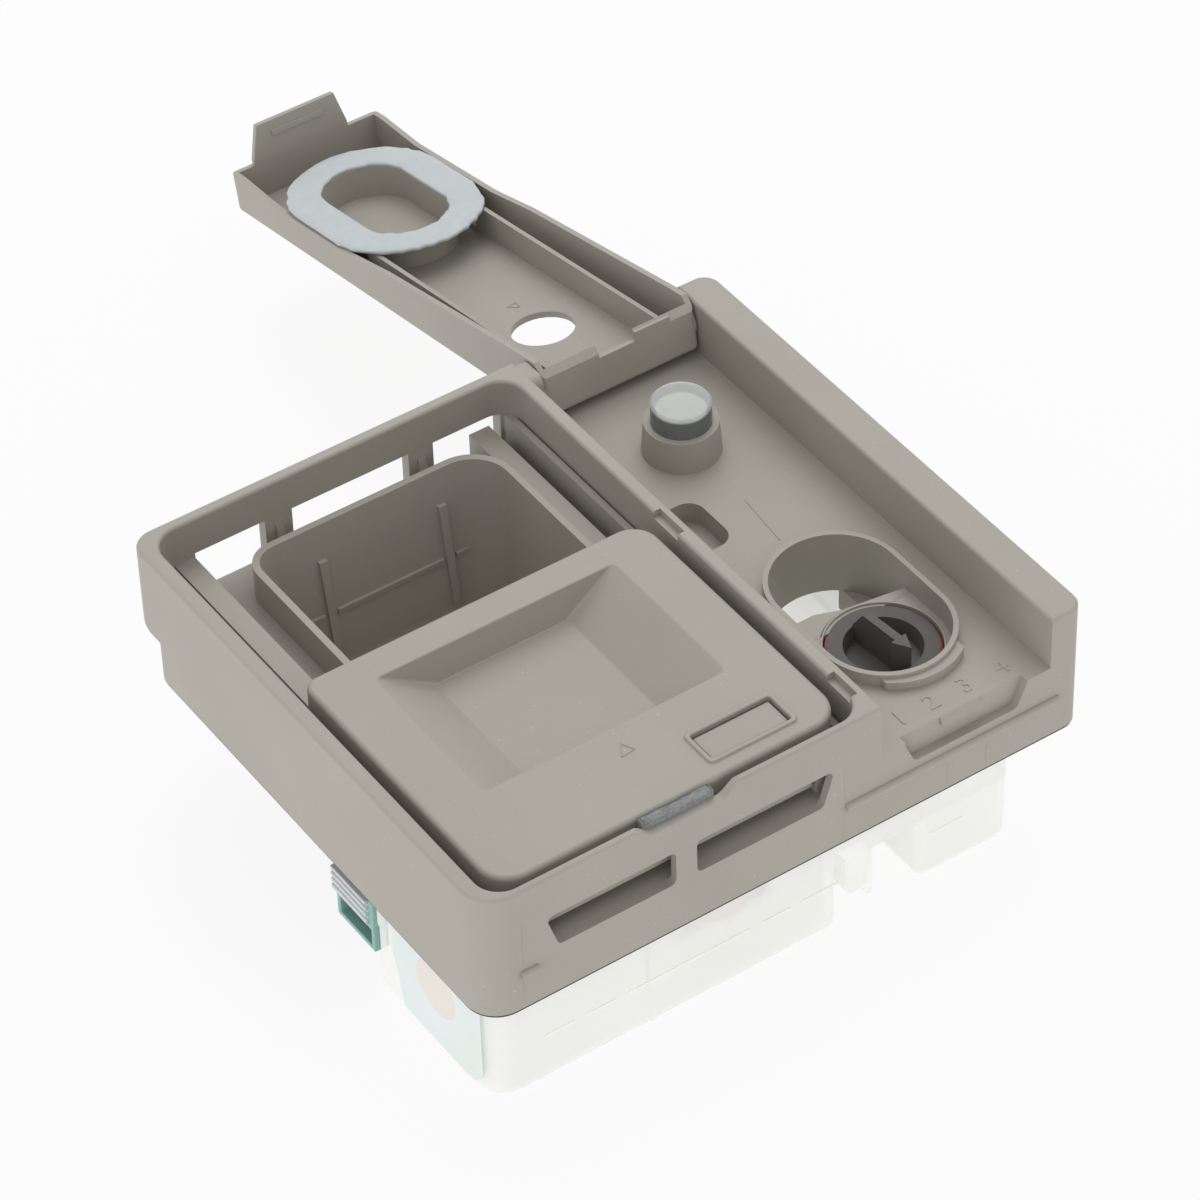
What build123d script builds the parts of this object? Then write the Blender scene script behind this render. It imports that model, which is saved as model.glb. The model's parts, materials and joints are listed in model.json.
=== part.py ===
from build123d import *
import os
from math import sin, cos, radians, degrees, atan2, hypot, pi

# Detergent and rinse dispenser for a dishwasher door.
#
# While it is drawn, X runs to the right from the left outer face, Y runs back from the front face to the
# flap's hinge, and Z runs out of the door from the top of the rim, so depths are negative. At the end every
# piece is moved together, so that the origin is the centre of the sealing flange, in the plane of its face.
# All sizes are in millimetres.

# Front moulding
body_x = 168.0
body_y = 150.0
body_z = 36.8
body_corners = (8.5, 4.3, 4.5, 6.0)
skin = 2.5
floor_t = 2.2
rim_round = 0.95
back_step = 7.0
back_step_chamfer = 3.0
flange_w = 7.4

# Detergent side of the front moulding; the rinse bay takes the rest of the width
rinse_w = 58.4
frame_x = body_x - rinse_w
rim_left = 4.3
rim_front = 2.1
rim_back = 3.1
rim_right = 3.9
bay_corner = 6.5
bay_floor = 22.4
window_top = 10.7
window_sill = 0.5
window_spans = ((16.1, 35.6), (43.2, frame_x - 33.1), (frame_x - 26.0, frame_x - 6.6))
gusset_t = 2.0
gusset_l = 4.4
notch_x0, notch_x1 = 46.0, 65.5
notch_end = 4.4
notch_depth = 3.4
notch_round = 3.5
rim_relief = ((7.0, 16.0), (75.0, 85.0))
rim_relief_depth = 2.0

# Slots in the front face
slot_top = 12.4
slot_1 = (16.9, 52.1)
slot_2 = (57.8, frame_x - 13.4)
slot_slant = 3.2
slot_low = 22.4
slot_round = 1.6
bead_x0, bead_x1 = frame_x - 10.2, body_x - 7.3
bead_z = 26.0
bead_r = 1.1
snap_x0, snap_x1 = 9.7, 14.3

# Door runners beside the cup
rail_top = 11.8
rail_w = 5.5
right_rail_top = 14.0
rib_w = 1.8
rib_top = 10.5

# Detergent cup
cup_x0, cup_x1 = 25.0, frame_x - 14.3
cup_back_gap = 5.3
cup_y = 61.6
cup_rim = 12.5
cup_depth = 41.5
cup_wall = 1.8
cup_taper = 5.0
cup_corners = (12.0, 12.0, 12.0, 8.0)
cup_rib_x = (cup_x0 + 20.3, cup_x1 - 15.8)
cup_rib_w = 2.2
cup_rib_h = 1.0
cup_rib_top = 9.6
cup_line_depth = 25.0
cup_line_w = 1.3

# Sliding door
door_gap_left = 3.5
door_gap_right = 3.0
door_gap_front = 2.9
door_y = 81.0
door_drop = 1.5
door_z = 9.9
door_plate = 1.8
door_skin = 2.0
door_corners = (8.0, 8.0, 7.0, 4.0)
door_round = 1.3
door_end_gap = 4.9
guide_gap = 0.6
guide_depth = 4.6
dish_x0, dish_x1 = 22.0, frame_x - 20.6
dish_y0, dish_y1 = 32.0, 77.0
dish_slope = 15.0
dish_draft = 2.0
dish_depth = 8.5
dish_wall = 1.5
apron_depth = 8.6
seal_w = 3.0
seal_t = 0.8

# Latch button
button_x, button_y = 21.2, 8.0
button_cx, button_cy = frame_x - 29.2, 14.6
button_gap = 0.5
button_sink = 0.4
button_t = 1.9
button_lip = 1.2
button_travel = 2.5
button_frame_w = 1.2
button_frame_h = 0.6
spring_wire = 0.6

# Rinse side of the front moulding
rinse_floor = 15.2
side_wall = 9.7
pocket_x0, pocket_y0 = frame_x + 4.4, 79.5
pocket_x, pocket_y = 11.7, 17.8
pocket_depth = 6.0
lens_x, lens_y = frame_x + 24.6, 114.0
lens_r = 7.55
lens_gap = 0.05
lens_wall = 1.3
lens_length = 30.0
lens_boss_r = 10.0
lens_boss_top_r = 9.3
lens_boss_h = 8.9
collar_x = frame_x + 24.4
collar_y0, collar_y1 = 32.0, 50.5
collar_r = 17.5
collar_wall = 1.3
collar_h = 3.4
well_floor = 30.0
well_outlet_x, well_outlet_y = 22.0, 21.0
bumper_h = 2.4
bumper_w = 2.8

# Dose dial
seat_top = 18.2
seat_r = 14.7
seat_wall = 0.4
platform_t = 2.4
shelf_l = 42.0
dial_r = 13.4
dial_top = 18.5
dial_t = 2.6
dial_dish = 4.4
dial_dish_r = 9.6
dial_shell = 1.2
dial_gap = 0.3
dial_stem_r = 4.0
dial_stem = 7.0
dial_turned = 5.6
fin_top = 12.8
fin_l = 19.2
fin_w = 2.2
arrow_l = 4.6
arrow_w = 4.6
ring_section = 1.2

# Catch for the flap, in the front face
catch_x0, catch_x1 = frame_x + 6.6, frame_x + 41.9
catch_in = 2.3
catch_depth = 7.3
catch_slant = 2.9
catch_round = 1.5
wedge_x0, wedge_x1 = frame_x + 18.2, frame_x + 29.5
wedge_h = 2.1
wedge_out = 1.5

# Rinse flap
hinge_y = 145.0
hinge_z = 6.9
flap_x0, flap_x1 = frame_x + 2.9, frame_x + 48.2
flap_l = hinge_y
flap_open = 191.5
flap_plate = 1.7
flap_wall = 1.5
flap_h0, flap_h1, flap_h2, flap_h3 = 7.9, 5.0, 3.1, 2.7
flap_s1, flap_s2, flap_s3 = 68.0, 87.0, 125.0
flap_heel = 4.4
flap_tip_h = 4.6
flap_rib_x = (flap_x0 + 5.5, flap_x1 - 7.4)
flap_rib_t = 1.2
flap_rib_h = 3.0
flap_rib_l = 86.0
flap_hole_gap = 0.75
pin_r = 2.0
pin_gap = 0.06
pin_l = 3.0
lug_y = 9.0
tab_base, tab_end = 29.0, 24.0
tab_t = 1.5
tab_h0, tab_h1 = 2.0, 15.4
tab_barb = 0.6
ring_in = 11.8
ring_wall = 1.7
ring_out = 21.2
ring_t = 1.2
ring_gap = 0.3

# Rear housing and tank
gasket_t = 0.8
gasket_in = 0.3
house_x0, house_y0 = 3.6, 4.5
house_x1, house_y1 = body_x - 16.0, 138.5
house_skin = 1.8
house_floor = 12.7
house_corners = (8.0, 4.5, 4.5, 4.5)
bin_x1, bin_y1 = frame_x - 8.6, 53.0
bin_floor = 33.5
web_x = (48.0, bin_x1 - 4.0)
arm_x0 = frame_x - 5.6
tank_x0 = frame_x + 14.7
tank_skin = 1.6
tank_floor = 33.6
spout_x0, spout_x1 = frame_x - 6.7, frame_x
spout_y = 10.0
spout_drop = 11.5
peg_x, peg_r = frame_x + 1.8, 1.15
peg_drop = 18.5
fit_gap = 0.3
screw_r = 1.5
screw_l = 12.0
ear_r = 4.2
ear_t = 3.2
ear_x = (35.0, frame_x - 24.6, frame_x - 10.0, body_x - 11.6)
ear_y = (57.4, 57.4, 75.0, 128.0, 30.0, 103.0)
ears = tuple(zip((ear_x[0], ear_x[1], ear_x[2], ear_x[2], ear_x[3], ear_x[3]), ear_y))
mount_x = body_x - 16.0
mount_y = 50.0
mount_cy = 103.0
mount_hole_r = 1.6
mount_boss_r = 4.2
mount_hole_l = 12.0

# Plug socket at the left end of the housing
plug_x, plug_y = 17.0, 16.0
plug_z0, plug_z1 = 44.0, 60.0
plug_wall = 1.3
plug_step = 8.0
clip_t = 7.4
terminal_w, terminal_t, terminal_l = 6.3, 0.8, 14.0

# Coil, plunger, lever and valve
coil_x, coil_y = frame_x - 29.6, 29.0
coil_r = 11.0
coil_bore = 5.6
coil_l = 13.0
yoke_half = 8.0
bobbin_wall = 1.0
bobbin_gap = 0.5
yoke_t = 1.6
plunger_r = 4.5
plunger_gap = 0.1
plunger_neck_r = 2.4
plunger_travel = 3.0
lever_t = 3.0
lever_w = 5.0
lever_x = frame_x + 7.8
lever_y = 60.0
lever_pin_r = 1.5
lever_play = 0.7
lever_height = 5.6
fork_half = 4.0
valve_y = 88.0
valve_seat = 4.6
valve_r = 4.0
valve_head = 2.0
valve_stem_r = 1.5


def plan(x0, y0, x1, y1, radii):
    """Flat rectangle with its own radius at the front left, front right, back right and back left corner."""
    shape = Pos((x0 + x1) / 2, (y0 + y1) / 2) * Rectangle(x1 - x0, y1 - y0)
    for x, y, r in zip((x0, x1, x1, x0), (y0, y0, y1, y1), radii):
        if r > 0:
            corner = shape.vertices().sort_by_distance(Vector(x, y, 0))[0]
            shape = fillet(corner, r)
    return shape


def grown(radii, by):
    """The radii of a rectangle that is grown by a margin on every side."""
    return tuple(max(r + by, 0.3) for r in radii)


def slab(face, low, high):
    """A flat shape raised between two heights."""
    return extrude(Pos(0, 0, low) * face, high - low)


def block(x0, x1, y0, y1, z0, z1):
    return Pos((x0 + x1) / 2, (y0 + y1) / 2, (z0 + z1) / 2) * Box(x1 - x0, y1 - y0, z1 - z0)


def post(x, y, r, z0, z1):
    return Pos(x, y, (z0 + z1) / 2) * Cylinder(r, z1 - z0)


def rod_x(x0, x1, y, z, r):
    return Pos((x0 + x1) / 2, y, z) * Rot(0, 90, 0) * Cylinder(r, x1 - x0)


def stadium(x, y0, y1, r):
    """Flat shape with two round ends, one behind the other."""
    return Pos(x, (y0 + y1) / 2) * SlotOverall(y1 - y0 + 2 * r, 2 * r, rotation=90)


def along_x(points, x0, x1):
    """An outline given as (y, z) points, run from x0 to x1."""
    face = Plane.YZ * make_face(Polyline(*points, close=True))
    return Pos(x0, 0, 0) * extrude(face, x1 - x0)


def along_y(points, y0, y1):
    """An outline given as (x, z) points, run from y0 to y1."""
    face = Plane.XZ * make_face(Polyline(*points, close=True))
    return Pos(0, y1, 0) * extrude(face, y1 - y0)


def coil_spring(x, y, z0, z1, r, wire, turns):
    """Wire wound about a vertical axis between two seats, in eight straight runs a turn."""
    rise = z1 - z0 - 1.2 * wire
    steps = turns * 8
    path = Polyline(*[(r * cos(pi * i / 4), r * sin(pi * i / 4), rise * i / steps) for i in range(steps + 1)])
    section = Plane(path @ 0, z_dir=path % 0) * RegularPolygon(wire / 2, 6)
    return Pos(x, y, z0 + 0.6 * wire) * sweep(section, path=path, transition=Transition.RIGHT)


# Places that several pieces share
flange_y = body_y - back_step
bay_x1 = frame_x - rim_right
bay_y1 = body_y - rim_back
back_step_depth = bay_floor + floor_t
rinse_x1 = body_x - side_wall
cup_y1 = bay_y1 - cup_back_gap
cup_y0 = cup_y1 - cup_y
door_x0 = rim_left + door_gap_left
door_x1 = bay_x1 - door_gap_right
door_y0 = rim_front + door_gap_front
door_y1 = door_y0 + door_y
door_travel = bay_y1 - door_y1 - door_end_gap
door_top = -door_drop
door_low = door_top - door_z
plate_low = door_top - door_plate
guide_low = door_low - guide_depth
groove_x0 = door_x0 + door_skin + guide_gap
groove_x1 = door_x1 - door_skin - guide_gap
bin_low = -body_z - bin_floor
tank_low = -body_z - tank_floor
shelf_low = -body_z - house_floor


def make_front_moulding():
    top = plan(0, 0, body_x, body_y, body_corners)
    lower = plan(0, 0, body_x, flange_y, body_corners)
    body = slab(top, -back_step_depth, 0) + slab(lower, -body_z, -back_step_depth + 1)
    body -= along_x(
        (
            (flange_y, -back_step_depth),
            (body_y + 1, -back_step_depth + back_step_chamfer + back_step_chamfer / back_step),
            (body_y + 1, -back_step_depth),
        ),
        -1,
        body_x + 1,
    )

    # The two bays are open to the wash side, and the rinse bay runs out at the front and the back.
    bay = plan(rim_left, rim_front, bay_x1, bay_y1, (bay_corner,) * 4)
    body -= slab(bay, -bay_floor, 1)
    body -= block(frame_x, rinse_x1, -1, body_y + 1, -rinse_floor, 1)

    rims = body.edges().group_by(Axis.Z)[-1]
    body = fillet(rims, rim_round)

    # Windows in the back wall, down to the floor and out through the step's underside, with a gusset on the
    # post between each pair.
    for x0, x1 in window_spans:
        body -= block(x0, x1, bay_y1 - 1, body_y + 1, -bay_floor, -window_top)
        body -= block(x0, x1, bay_y1 + window_sill, body_y + 1, -back_step_depth - 1, -window_top)
    for (_, x0), (x1, _) in zip(window_spans, window_spans[1:]):
        mid = (x0 + x1) / 2
        body += along_x(
            ((bay_y1 + 1, -bay_floor - 1), (bay_y1 - gusset_l, -bay_floor - 1), (bay_y1 - gusset_l, -bay_floor), (bay_y1 + 1, -window_top)),
            mid - gusset_t / 2,
            mid + gusset_t / 2,
        )

    # The hollow under the floors, open to the dry side.
    under = -bay_floor - floor_t
    under_rinse = -rinse_floor - floor_t
    mid_x = frame_x - skin
    hollow = plan(skin, skin, body_x - skin, flange_y - skin, grown(body_corners, -skin))
    rinse_side = plan(mid_x, 0, body_x, body_y, (0,) * 4)
    wall_side = plan(rinse_x1 + floor_t, 0, body_x, body_y, (0,) * 4)
    body -= slab(hollow, -body_z - 1, under)
    body -= slab(hollow & rinse_side, -body_z - 1, under_rinse)
    body -= slab(hollow & wall_side, -body_z - 1, -floor_t)
    body -= block(frame_x, rinse_x1, flange_y, body_y - skin, -back_step_depth - 1, under_rinse)
    opening = plan(flange_w, flange_w, body_x - flange_w, flange_y - flange_w / 2, (4,) * 4)
    flange = slab(plan(skin / 2, skin / 2, body_x - skin / 2, flange_y - skin / 2, (2,) * 4), -body_z, -body_z + floor_t)
    body += flange - slab(opening, -body_z - 1, 0)

    # Runners for the door's guides, the left one cored from below.
    y_end = bay_y1 + 0.5
    body += block(groove_x0, groove_x0 + rail_w, rim_front + skin, y_end, under, -rail_top)
    rail_end = flange_y - skin
    body -= block(groove_x0 + rib_w, groove_x0 + rail_w - rib_w, 2 * skin, rail_end, under - 1, -rail_top - floor_t)
    body += block(cup_x1 - 1, groove_x1, rim_front + skin, y_end, under, -right_rail_top)
    body -= block(cup_x1 + 0.4, groove_x1 - rib_w, 2 * skin, rail_end, under - 1, -right_rail_top - floor_t)
    rib_x = door_x1 + guide_gap
    body += block(rib_x, rib_x + rib_w, rim_front + skin, y_end, under, -rib_top)

    # Detergent cup: a tapered bowl that hangs through the floor, upright outside above it.
    cup_low = -cup_rim - cup_depth
    shrink = cup_depth * sin(radians(cup_taper))
    mouth = plan(cup_x0, cup_y0, cup_x1, cup_y1, cup_corners)
    base_radii = grown(cup_corners, -shrink / 2)
    base = plan(cup_x0 + shrink, cup_y0 + shrink, cup_x1 - shrink, cup_y1 - 2 * shrink, base_radii)
    w = cup_wall
    bowl = loft([Pos(0, 0, cup_low - w) * base, Pos(0, 0, -cup_rim) * mouth])
    bowl += slab(mouth, under, -cup_rim)
    mouth_in = plan(cup_x0 + w, cup_y0 + w, cup_x1 - w, cup_y1 - w, grown(cup_corners, -w))
    base_in_radii = grown(base_radii, -w)
    base_in = plan(
        cup_x0 + shrink + w, cup_y0 + shrink + w, cup_x1 - shrink - w, cup_y1 - 2 * shrink - w, base_in_radii
    )
    hollow = loft([Pos(0, 0, cup_low) * base_in, Pos(0, 0, -cup_rim) * mouth_in])
    hollow = fillet(hollow.faces().sort_by(Axis.Z)[0].edges(), 2.5)
    body = body + bowl - hollow

    # Two upright fill marks and one level mark on the cup's back wall.
    lean = 2 * shrink / cup_depth
    back = cup_y1 - w
    for x in cup_rib_x:
        mark = along_x(
            (
                (back + 0.6 - lean * cup_rib_top, -cup_rim - cup_rib_top),
                (back - cup_rib_h - lean * cup_rib_top, -cup_rim - cup_rib_top),
                (back - cup_rib_h - lean * (cup_depth - 5), -cup_rim - cup_depth + 3.5),
                (back + 0.6 - lean * (cup_depth - 5), -cup_rim - cup_depth + 3.5),
            ),
            x - cup_rib_w / 2,
            x + cup_rib_w / 2,
        )
        body += mark
    level = -cup_rim - cup_line_depth
    reach = back - lean * cup_line_depth
    for x0, x1 in ((cup_rib_x[0] - 6.5, cup_rib_x[0] - 1.8), (cup_rib_x[0] + 1.8, cup_rib_x[1] - 1.8),
                   (cup_rib_x[1] + 1.8, cup_rib_x[1] + 9.5)):
        body += block(x0, x1, reach - 0.7, reach + 0.8, level - cup_line_w / 2, level + cup_line_w / 2)

    # Notch in the front rim, reliefs in the rim beside the door, and the two slots under it.
    notch = along_y(
        (
            (notch_x0 - notch_end - notch_round, 1),
            (notch_x0 - notch_end - notch_round, 0.03),
            (notch_x0 - notch_end, 0.03),
            (notch_x0, -notch_depth),
            (notch_x1, -notch_depth),
            (notch_x1 + notch_end, 0.03),
            (notch_x1 + notch_end + notch_round, 0.03),
            (notch_x1 + notch_end + notch_round, 1),
        ),
        -1,
        rim_front + 1,
    )
    bends = [e for e in notch.edges().filter_by(Axis.Y) if notch_x0 - notch_end - 1 < e.center().X < notch_x1 + notch_end + 1]
    body -= fillet([e for e in bends if e.center().Z < 0.5], notch_round)
    for y0, y1 in rim_relief:
        body -= block(bay_x1 - 1, bay_x1 + rim_right / 2, y0, y1, -rim_relief_depth, 1)
    for (x0, x1), left, right in ((slot_1, slot_slant, 0), (slot_2, 0, slot_slant)):
        mouth = along_y(
            ((x0, -slot_top), (x0 + left, -slot_low), (x1 - right, -slot_low), (x1, -slot_top)),
            -1,
            rim_front + 0.5,
        )
        mouth = fillet(mouth.edges().filter_by(Axis.Y), slot_round)
        body -= mouth

    # Rinse bay: pocket, sight-glass boss, collar and well.
    pocket = plan(pocket_x0, pocket_y0, pocket_x0 + pocket_x, pocket_y0 + pocket_y, (4.5,) * 4)
    around = plan(
        pocket_x0 - floor_t, pocket_y0 - floor_t, pocket_x0 + pocket_x + floor_t, pocket_y0 + pocket_y + floor_t, (6,) * 4
    )
    pocket_low = -rinse_floor - pocket_depth
    body += slab(around, pocket_low - floor_t, under_rinse + 0.1)
    body -= slab(pocket, pocket_low, 1)
    boss = Pos(lens_x, lens_y, -rinse_floor - 0.1) * Cone(
        lens_boss_r, lens_boss_top_r, lens_boss_h + 0.1, align=(Align.CENTER, Align.CENTER, Align.MIN)
    )
    body += boss
    body -= post(lens_x, lens_y, lens_r + lens_gap, under_rinse - 1, 1)

    tower = stadium(collar_x, collar_y0, collar_y1, collar_r)
    inner = stadium(collar_x, collar_y0, collar_y1, collar_r - collar_wall)
    body += slab(tower, -body_z, -rinse_floor + collar_h)
    crescent = Pos(0.6, -bumper_w * 0.8) * Pos(collar_x, collar_y0) * Circle(collar_r)
    bumper = slab(crescent, under_rinse + 0.1, -rinse_floor + bumper_h)
    body += bumper & block(collar_x - 11, collar_x + 11, collar_y0 - 30, collar_y0, -body_z, 0)
    body -= slab(inner, -well_floor, 1)
    outlet = plan(
        collar_x - well_outlet_x / 2, collar_y1 + 12.5 - well_outlet_y, collar_x + well_outlet_x / 2, collar_y1 + 12.5, (5,) * 4
    )
    body -= slab(outlet, -body_z - 1, 0.5 - well_floor)

    # Platform in the front of the well, with the dial's seat.
    platform_top = -seat_top - 0.5
    shelf = inner & (Pos(collar_x, collar_y0 - 10) * Rectangle(2 * collar_r, shelf_l))
    shelf += Pos(collar_x, collar_y0) * Circle(seat_r + 0.4)
    body += slab(shelf, platform_top - platform_t, platform_top)
    hub_low = -dial_top - dial_dish - dial_shell
    body += post(collar_x, collar_y0, seat_r, hub_low - dial_gap - floor_t, -seat_top)
    body -= post(collar_x, collar_y0, seat_r - seat_wall, -dial_top - dial_t - dial_gap, 1)
    body -= post(collar_x, collar_y0, dial_dish_r + dial_shell + dial_gap, hub_low - dial_gap, 1)
    body -= post(collar_x, collar_y0, dial_stem_r + pin_gap, -dial_top - 20, 1)

    # Recess and wedge that the flap's tab snaps over.
    floor = -rinse_floor
    recess = along_y(
        (
            (catch_x0, floor + 1),
            (catch_x0, floor - 1),
            (catch_x0 + catch_slant, floor - catch_depth),
            (catch_x1 - catch_slant, floor - catch_depth),
            (catch_x1, floor - 1),
            (catch_x1, floor + 1),
        ),
        -1,
        catch_in,
    )
    body -= fillet(recess.edges().filter_by(Axis.Y).group_by(Axis.Z)[0], catch_round)
    body += along_x(
        ((catch_in + 0.5, floor), (catch_in, floor), (catch_in - wedge_out, floor - wedge_h), (catch_in + 0.5, floor - wedge_h)),
        wedge_x0,
        wedge_x1,
    )

    # Lug and bores for the flap's pins.
    lug = block(frame_x - 1, flap_x0 - fit_gap, hinge_y - lug_y / 2, body_y, floor - 1, 0)
    lug = fillet(lug.edges().filter_by(Axis.X).group_by(Axis.Z)[-1], 3)
    body += lug
    bore = pin_r + pin_gap
    body -= rod_x(flap_x0 - pin_l - 0.5, flap_x0, hinge_y, -hinge_z, bore)
    body -= rod_x(flap_x1, flap_x1 + pin_l + 0.5, hinge_y, -hinge_z, bore)

    # Beads on the front face.
    body += Pos((bead_x0 + bead_x1) / 2, 0, -bead_z) * Rot(0, 90, 0) * Cylinder(bead_r, bead_x1 - bead_x0)
    body += Pos((snap_x0 + snap_x1) / 2, 0, -bead_z) * Rot(0, 90, 0) * Cylinder(bead_r, snap_x1 - snap_x0)

    # Posts for the housing's screws and for the screws that hold the dispenser in the door.
    for x, y in ears:
        roof = under if x < mid_x else under_rinse
        body += post(x, y, ear_r - 0.4, -body_z, roof + 0.1)
        body -= post(x, y, screw_r - 0.05, -body_z - 1, -body_z + screw_l - ear_t + 0.6)
    for x, y in mount_places():
        roof = under if x < mid_x else under_rinse
        body += post(x, y, mount_boss_r, -body_z, roof + 0.1)
        body -= post(x, y, mount_hole_r, -body_z - 1, -body_z + mount_hole_l)

    # Guide tube for the valve, under the pocket.
    tube_low = -body_z + 3
    body += post(lever_x, valve_y, valve_r + fit_gap + 1.2, tube_low, pocket_low - floor_t + 0.1)
    body -= post(lever_x, valve_y, valve_r + fit_gap, tube_low - 1, pocket_low - floor_t)
    return body


def mount_places():
    """The four screws that hold the dispenser in the door, at the corners of a rectangle."""
    mid = body_x / 2
    return [(mid + i * mount_x / 2, mount_cy + j * mount_y / 2) for i in (-1, 1) for j in (-1, 1)]


def make_sliding_door():
    x0, x1, y0, y1 = door_x0, door_x1, door_y0, door_y1
    door = slab(plan(x0, y0, x1, y1, door_corners), door_low, door_top)
    door = fillet(door.faces().sort_by(Axis.Z)[-1].edges(), door_round)
    s = door_skin
    inside = plan(x0 + s, y0 + s, x1 - s, y1 - s, grown(door_corners, -s))
    door -= slab(inside, door_low - 1, plate_low)

    # Frame that carries the seal: it repeats the cup's mouth, one travel further forward.
    carry = plan(cup_x0, cup_y0 - door_travel, cup_x1, cup_y1 - door_travel, cup_corners)
    carry_in = plan(
        cup_x0 + s, cup_y0 + s - door_travel, cup_x1 - s, cup_y1 - s - door_travel, grown(cup_corners, -s)
    )
    door += slab(carry, door_low, plate_low + 0.1) - slab(carry_in, door_low - 1, 1)

    # Dished middle with two long sloping sides.
    lip = plan(dish_x0, dish_y0, dish_x1, dish_y1, (1.5,) * 4)
    a, b = dish_slope, dish_draft
    foot = plan(dish_x0 + a, dish_y0 + b, dish_x1 - a, dish_y1 - b, (1.5,) * 4)
    t = dish_wall
    lip_out = plan(dish_x0 - t, dish_y0 - t, dish_x1 + t, dish_y1 + t, (2.5,) * 4)
    foot_out = plan(dish_x0 + a - t, dish_y0 + b - t, dish_x1 - a + t, dish_y1 - b + t, (2.5,) * 4)
    dish_low = door_top - dish_depth
    shell = loft([Pos(0, 0, dish_low - t) * foot_out, Pos(0, 0, door_top - 0.5) * lip_out])
    dish = loft([Pos(0, 0, dish_low) * foot, Pos(0, 0, door_top) * lip])
    door = door + shell - dish

    # Guides that run in the grooves, and the deep apron behind the front rim.
    door += block(x0, x0 + s, y0 + 9, y1 - 8, guide_low, door_low + 1)
    door += block(x1 - s, x1, y0 + 9, y1 - 8, guide_low, door_low + 1)
    door += block(x0 + 9, x1 - 9, y0, y0 + s, door_low - apron_depth, door_low + 1)

    # Window for the button, its raised frame and the bridge under it.
    bx, by = button_x / 2 + button_gap, button_y / 2 + button_gap
    cx, cy = button_cx, button_cy
    f = button_frame_w
    frame = plan(cx - bx - f, cy - by - f, cx + bx + f, cy + by + f, (1.5,) * 4)
    door += slab(frame, door_top - 0.2, door_top + button_frame_h)
    door -= slab(plan(cx - bx, cy - by, cx + bx, cy + by, (0.8,) * 4), plate_low - 0.5, door_top + 1)
    door += block(cx - 8, cx + 8, y0 + s - 0.2, cy + by + 3, door_low, door_low + 1.2)
    return door


def make_door_seal():
    g = 0.4
    outer = plan(
        cup_x0 - g, cup_y0 - g - door_travel, cup_x1 + g, cup_y1 + g - door_travel, grown(cup_corners, g)
    )
    k = seal_w - g
    inner = plan(
        cup_x0 + k, cup_y0 + k - door_travel, cup_x1 - k, cup_y1 - k - door_travel, grown(cup_corners, -k)
    )
    return slab(outer, door_low - seal_t, door_low) - slab(inner, door_low - seal_t - 1, door_low + 1)


def make_front_bumper():
    bumper = block(notch_x0 - 1.3, notch_x1 - 1.5, rim_front, rim_front + 2.0, -4.9, -0.6)
    return fillet(bumper.edges().filter_by(Axis.Y), 0.8)


def make_latch_button():
    cx, cy = button_cx, button_cy
    top = door_top - button_sink
    lip_top = plate_low - fit_gap
    cap = slab(plan(cx - button_x / 2, cy - button_y / 2, cx + button_x / 2, cy + button_y / 2, (0.6,) * 4), lip_top - 0.1, top)
    cap = fillet(cap.faces().sort_by(Axis.Z)[-1].edges(), 0.4)
    grow = button_gap + button_lip
    lip = plan(
        cx - button_x / 2 - grow, cy - button_y / 2 - grow, cx + button_x / 2 + grow, cy + button_y / 2 + grow, (1,) * 4
    )
    button = cap + slab(lip, lip_top - button_t, lip_top)
    button += post(cx, cy, 1.6, lip_top - button_t - 1.2, lip_top - button_t + 0.1)
    return button


def make_button_spring():
    high = plate_low - fit_gap - button_t
    return coil_spring(button_cx, button_cy, door_low + 1.2, high, 2.6, spring_wire, 3)


def flap_place(s, h):
    """Where a point of the open flap lies: s runs from the hinge to the tip, h towards the outer side."""
    a = radians(flap_open - 180)
    return hinge_y + s * cos(a) - h * sin(a), -hinge_z - s * sin(a) - h * cos(a)


def flap_frame():
    """Plane of the open flap: X as the body's, Y from the hinge to the tip, Z towards its inner side."""
    return Pos(0, hinge_y, -hinge_z) * Rot(-(flap_open - 180), 0, 0)


def flap_profile():
    """Side view of the flap as (s, -h) points."""
    end = flap_l + tab_t
    return (
        (-flap_heel, -hinge_z),
        (-flap_heel, flap_h0 - 3.6),
        (-1.5, flap_h0),
        (4.0, flap_h0),
        (flap_s1, flap_h1),
        (flap_s2, flap_h2),
        (flap_s3, flap_h3),
        (end - 5, flap_tip_h),
        (end, flap_tip_h),
        (end, -hinge_z),
    )


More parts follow.
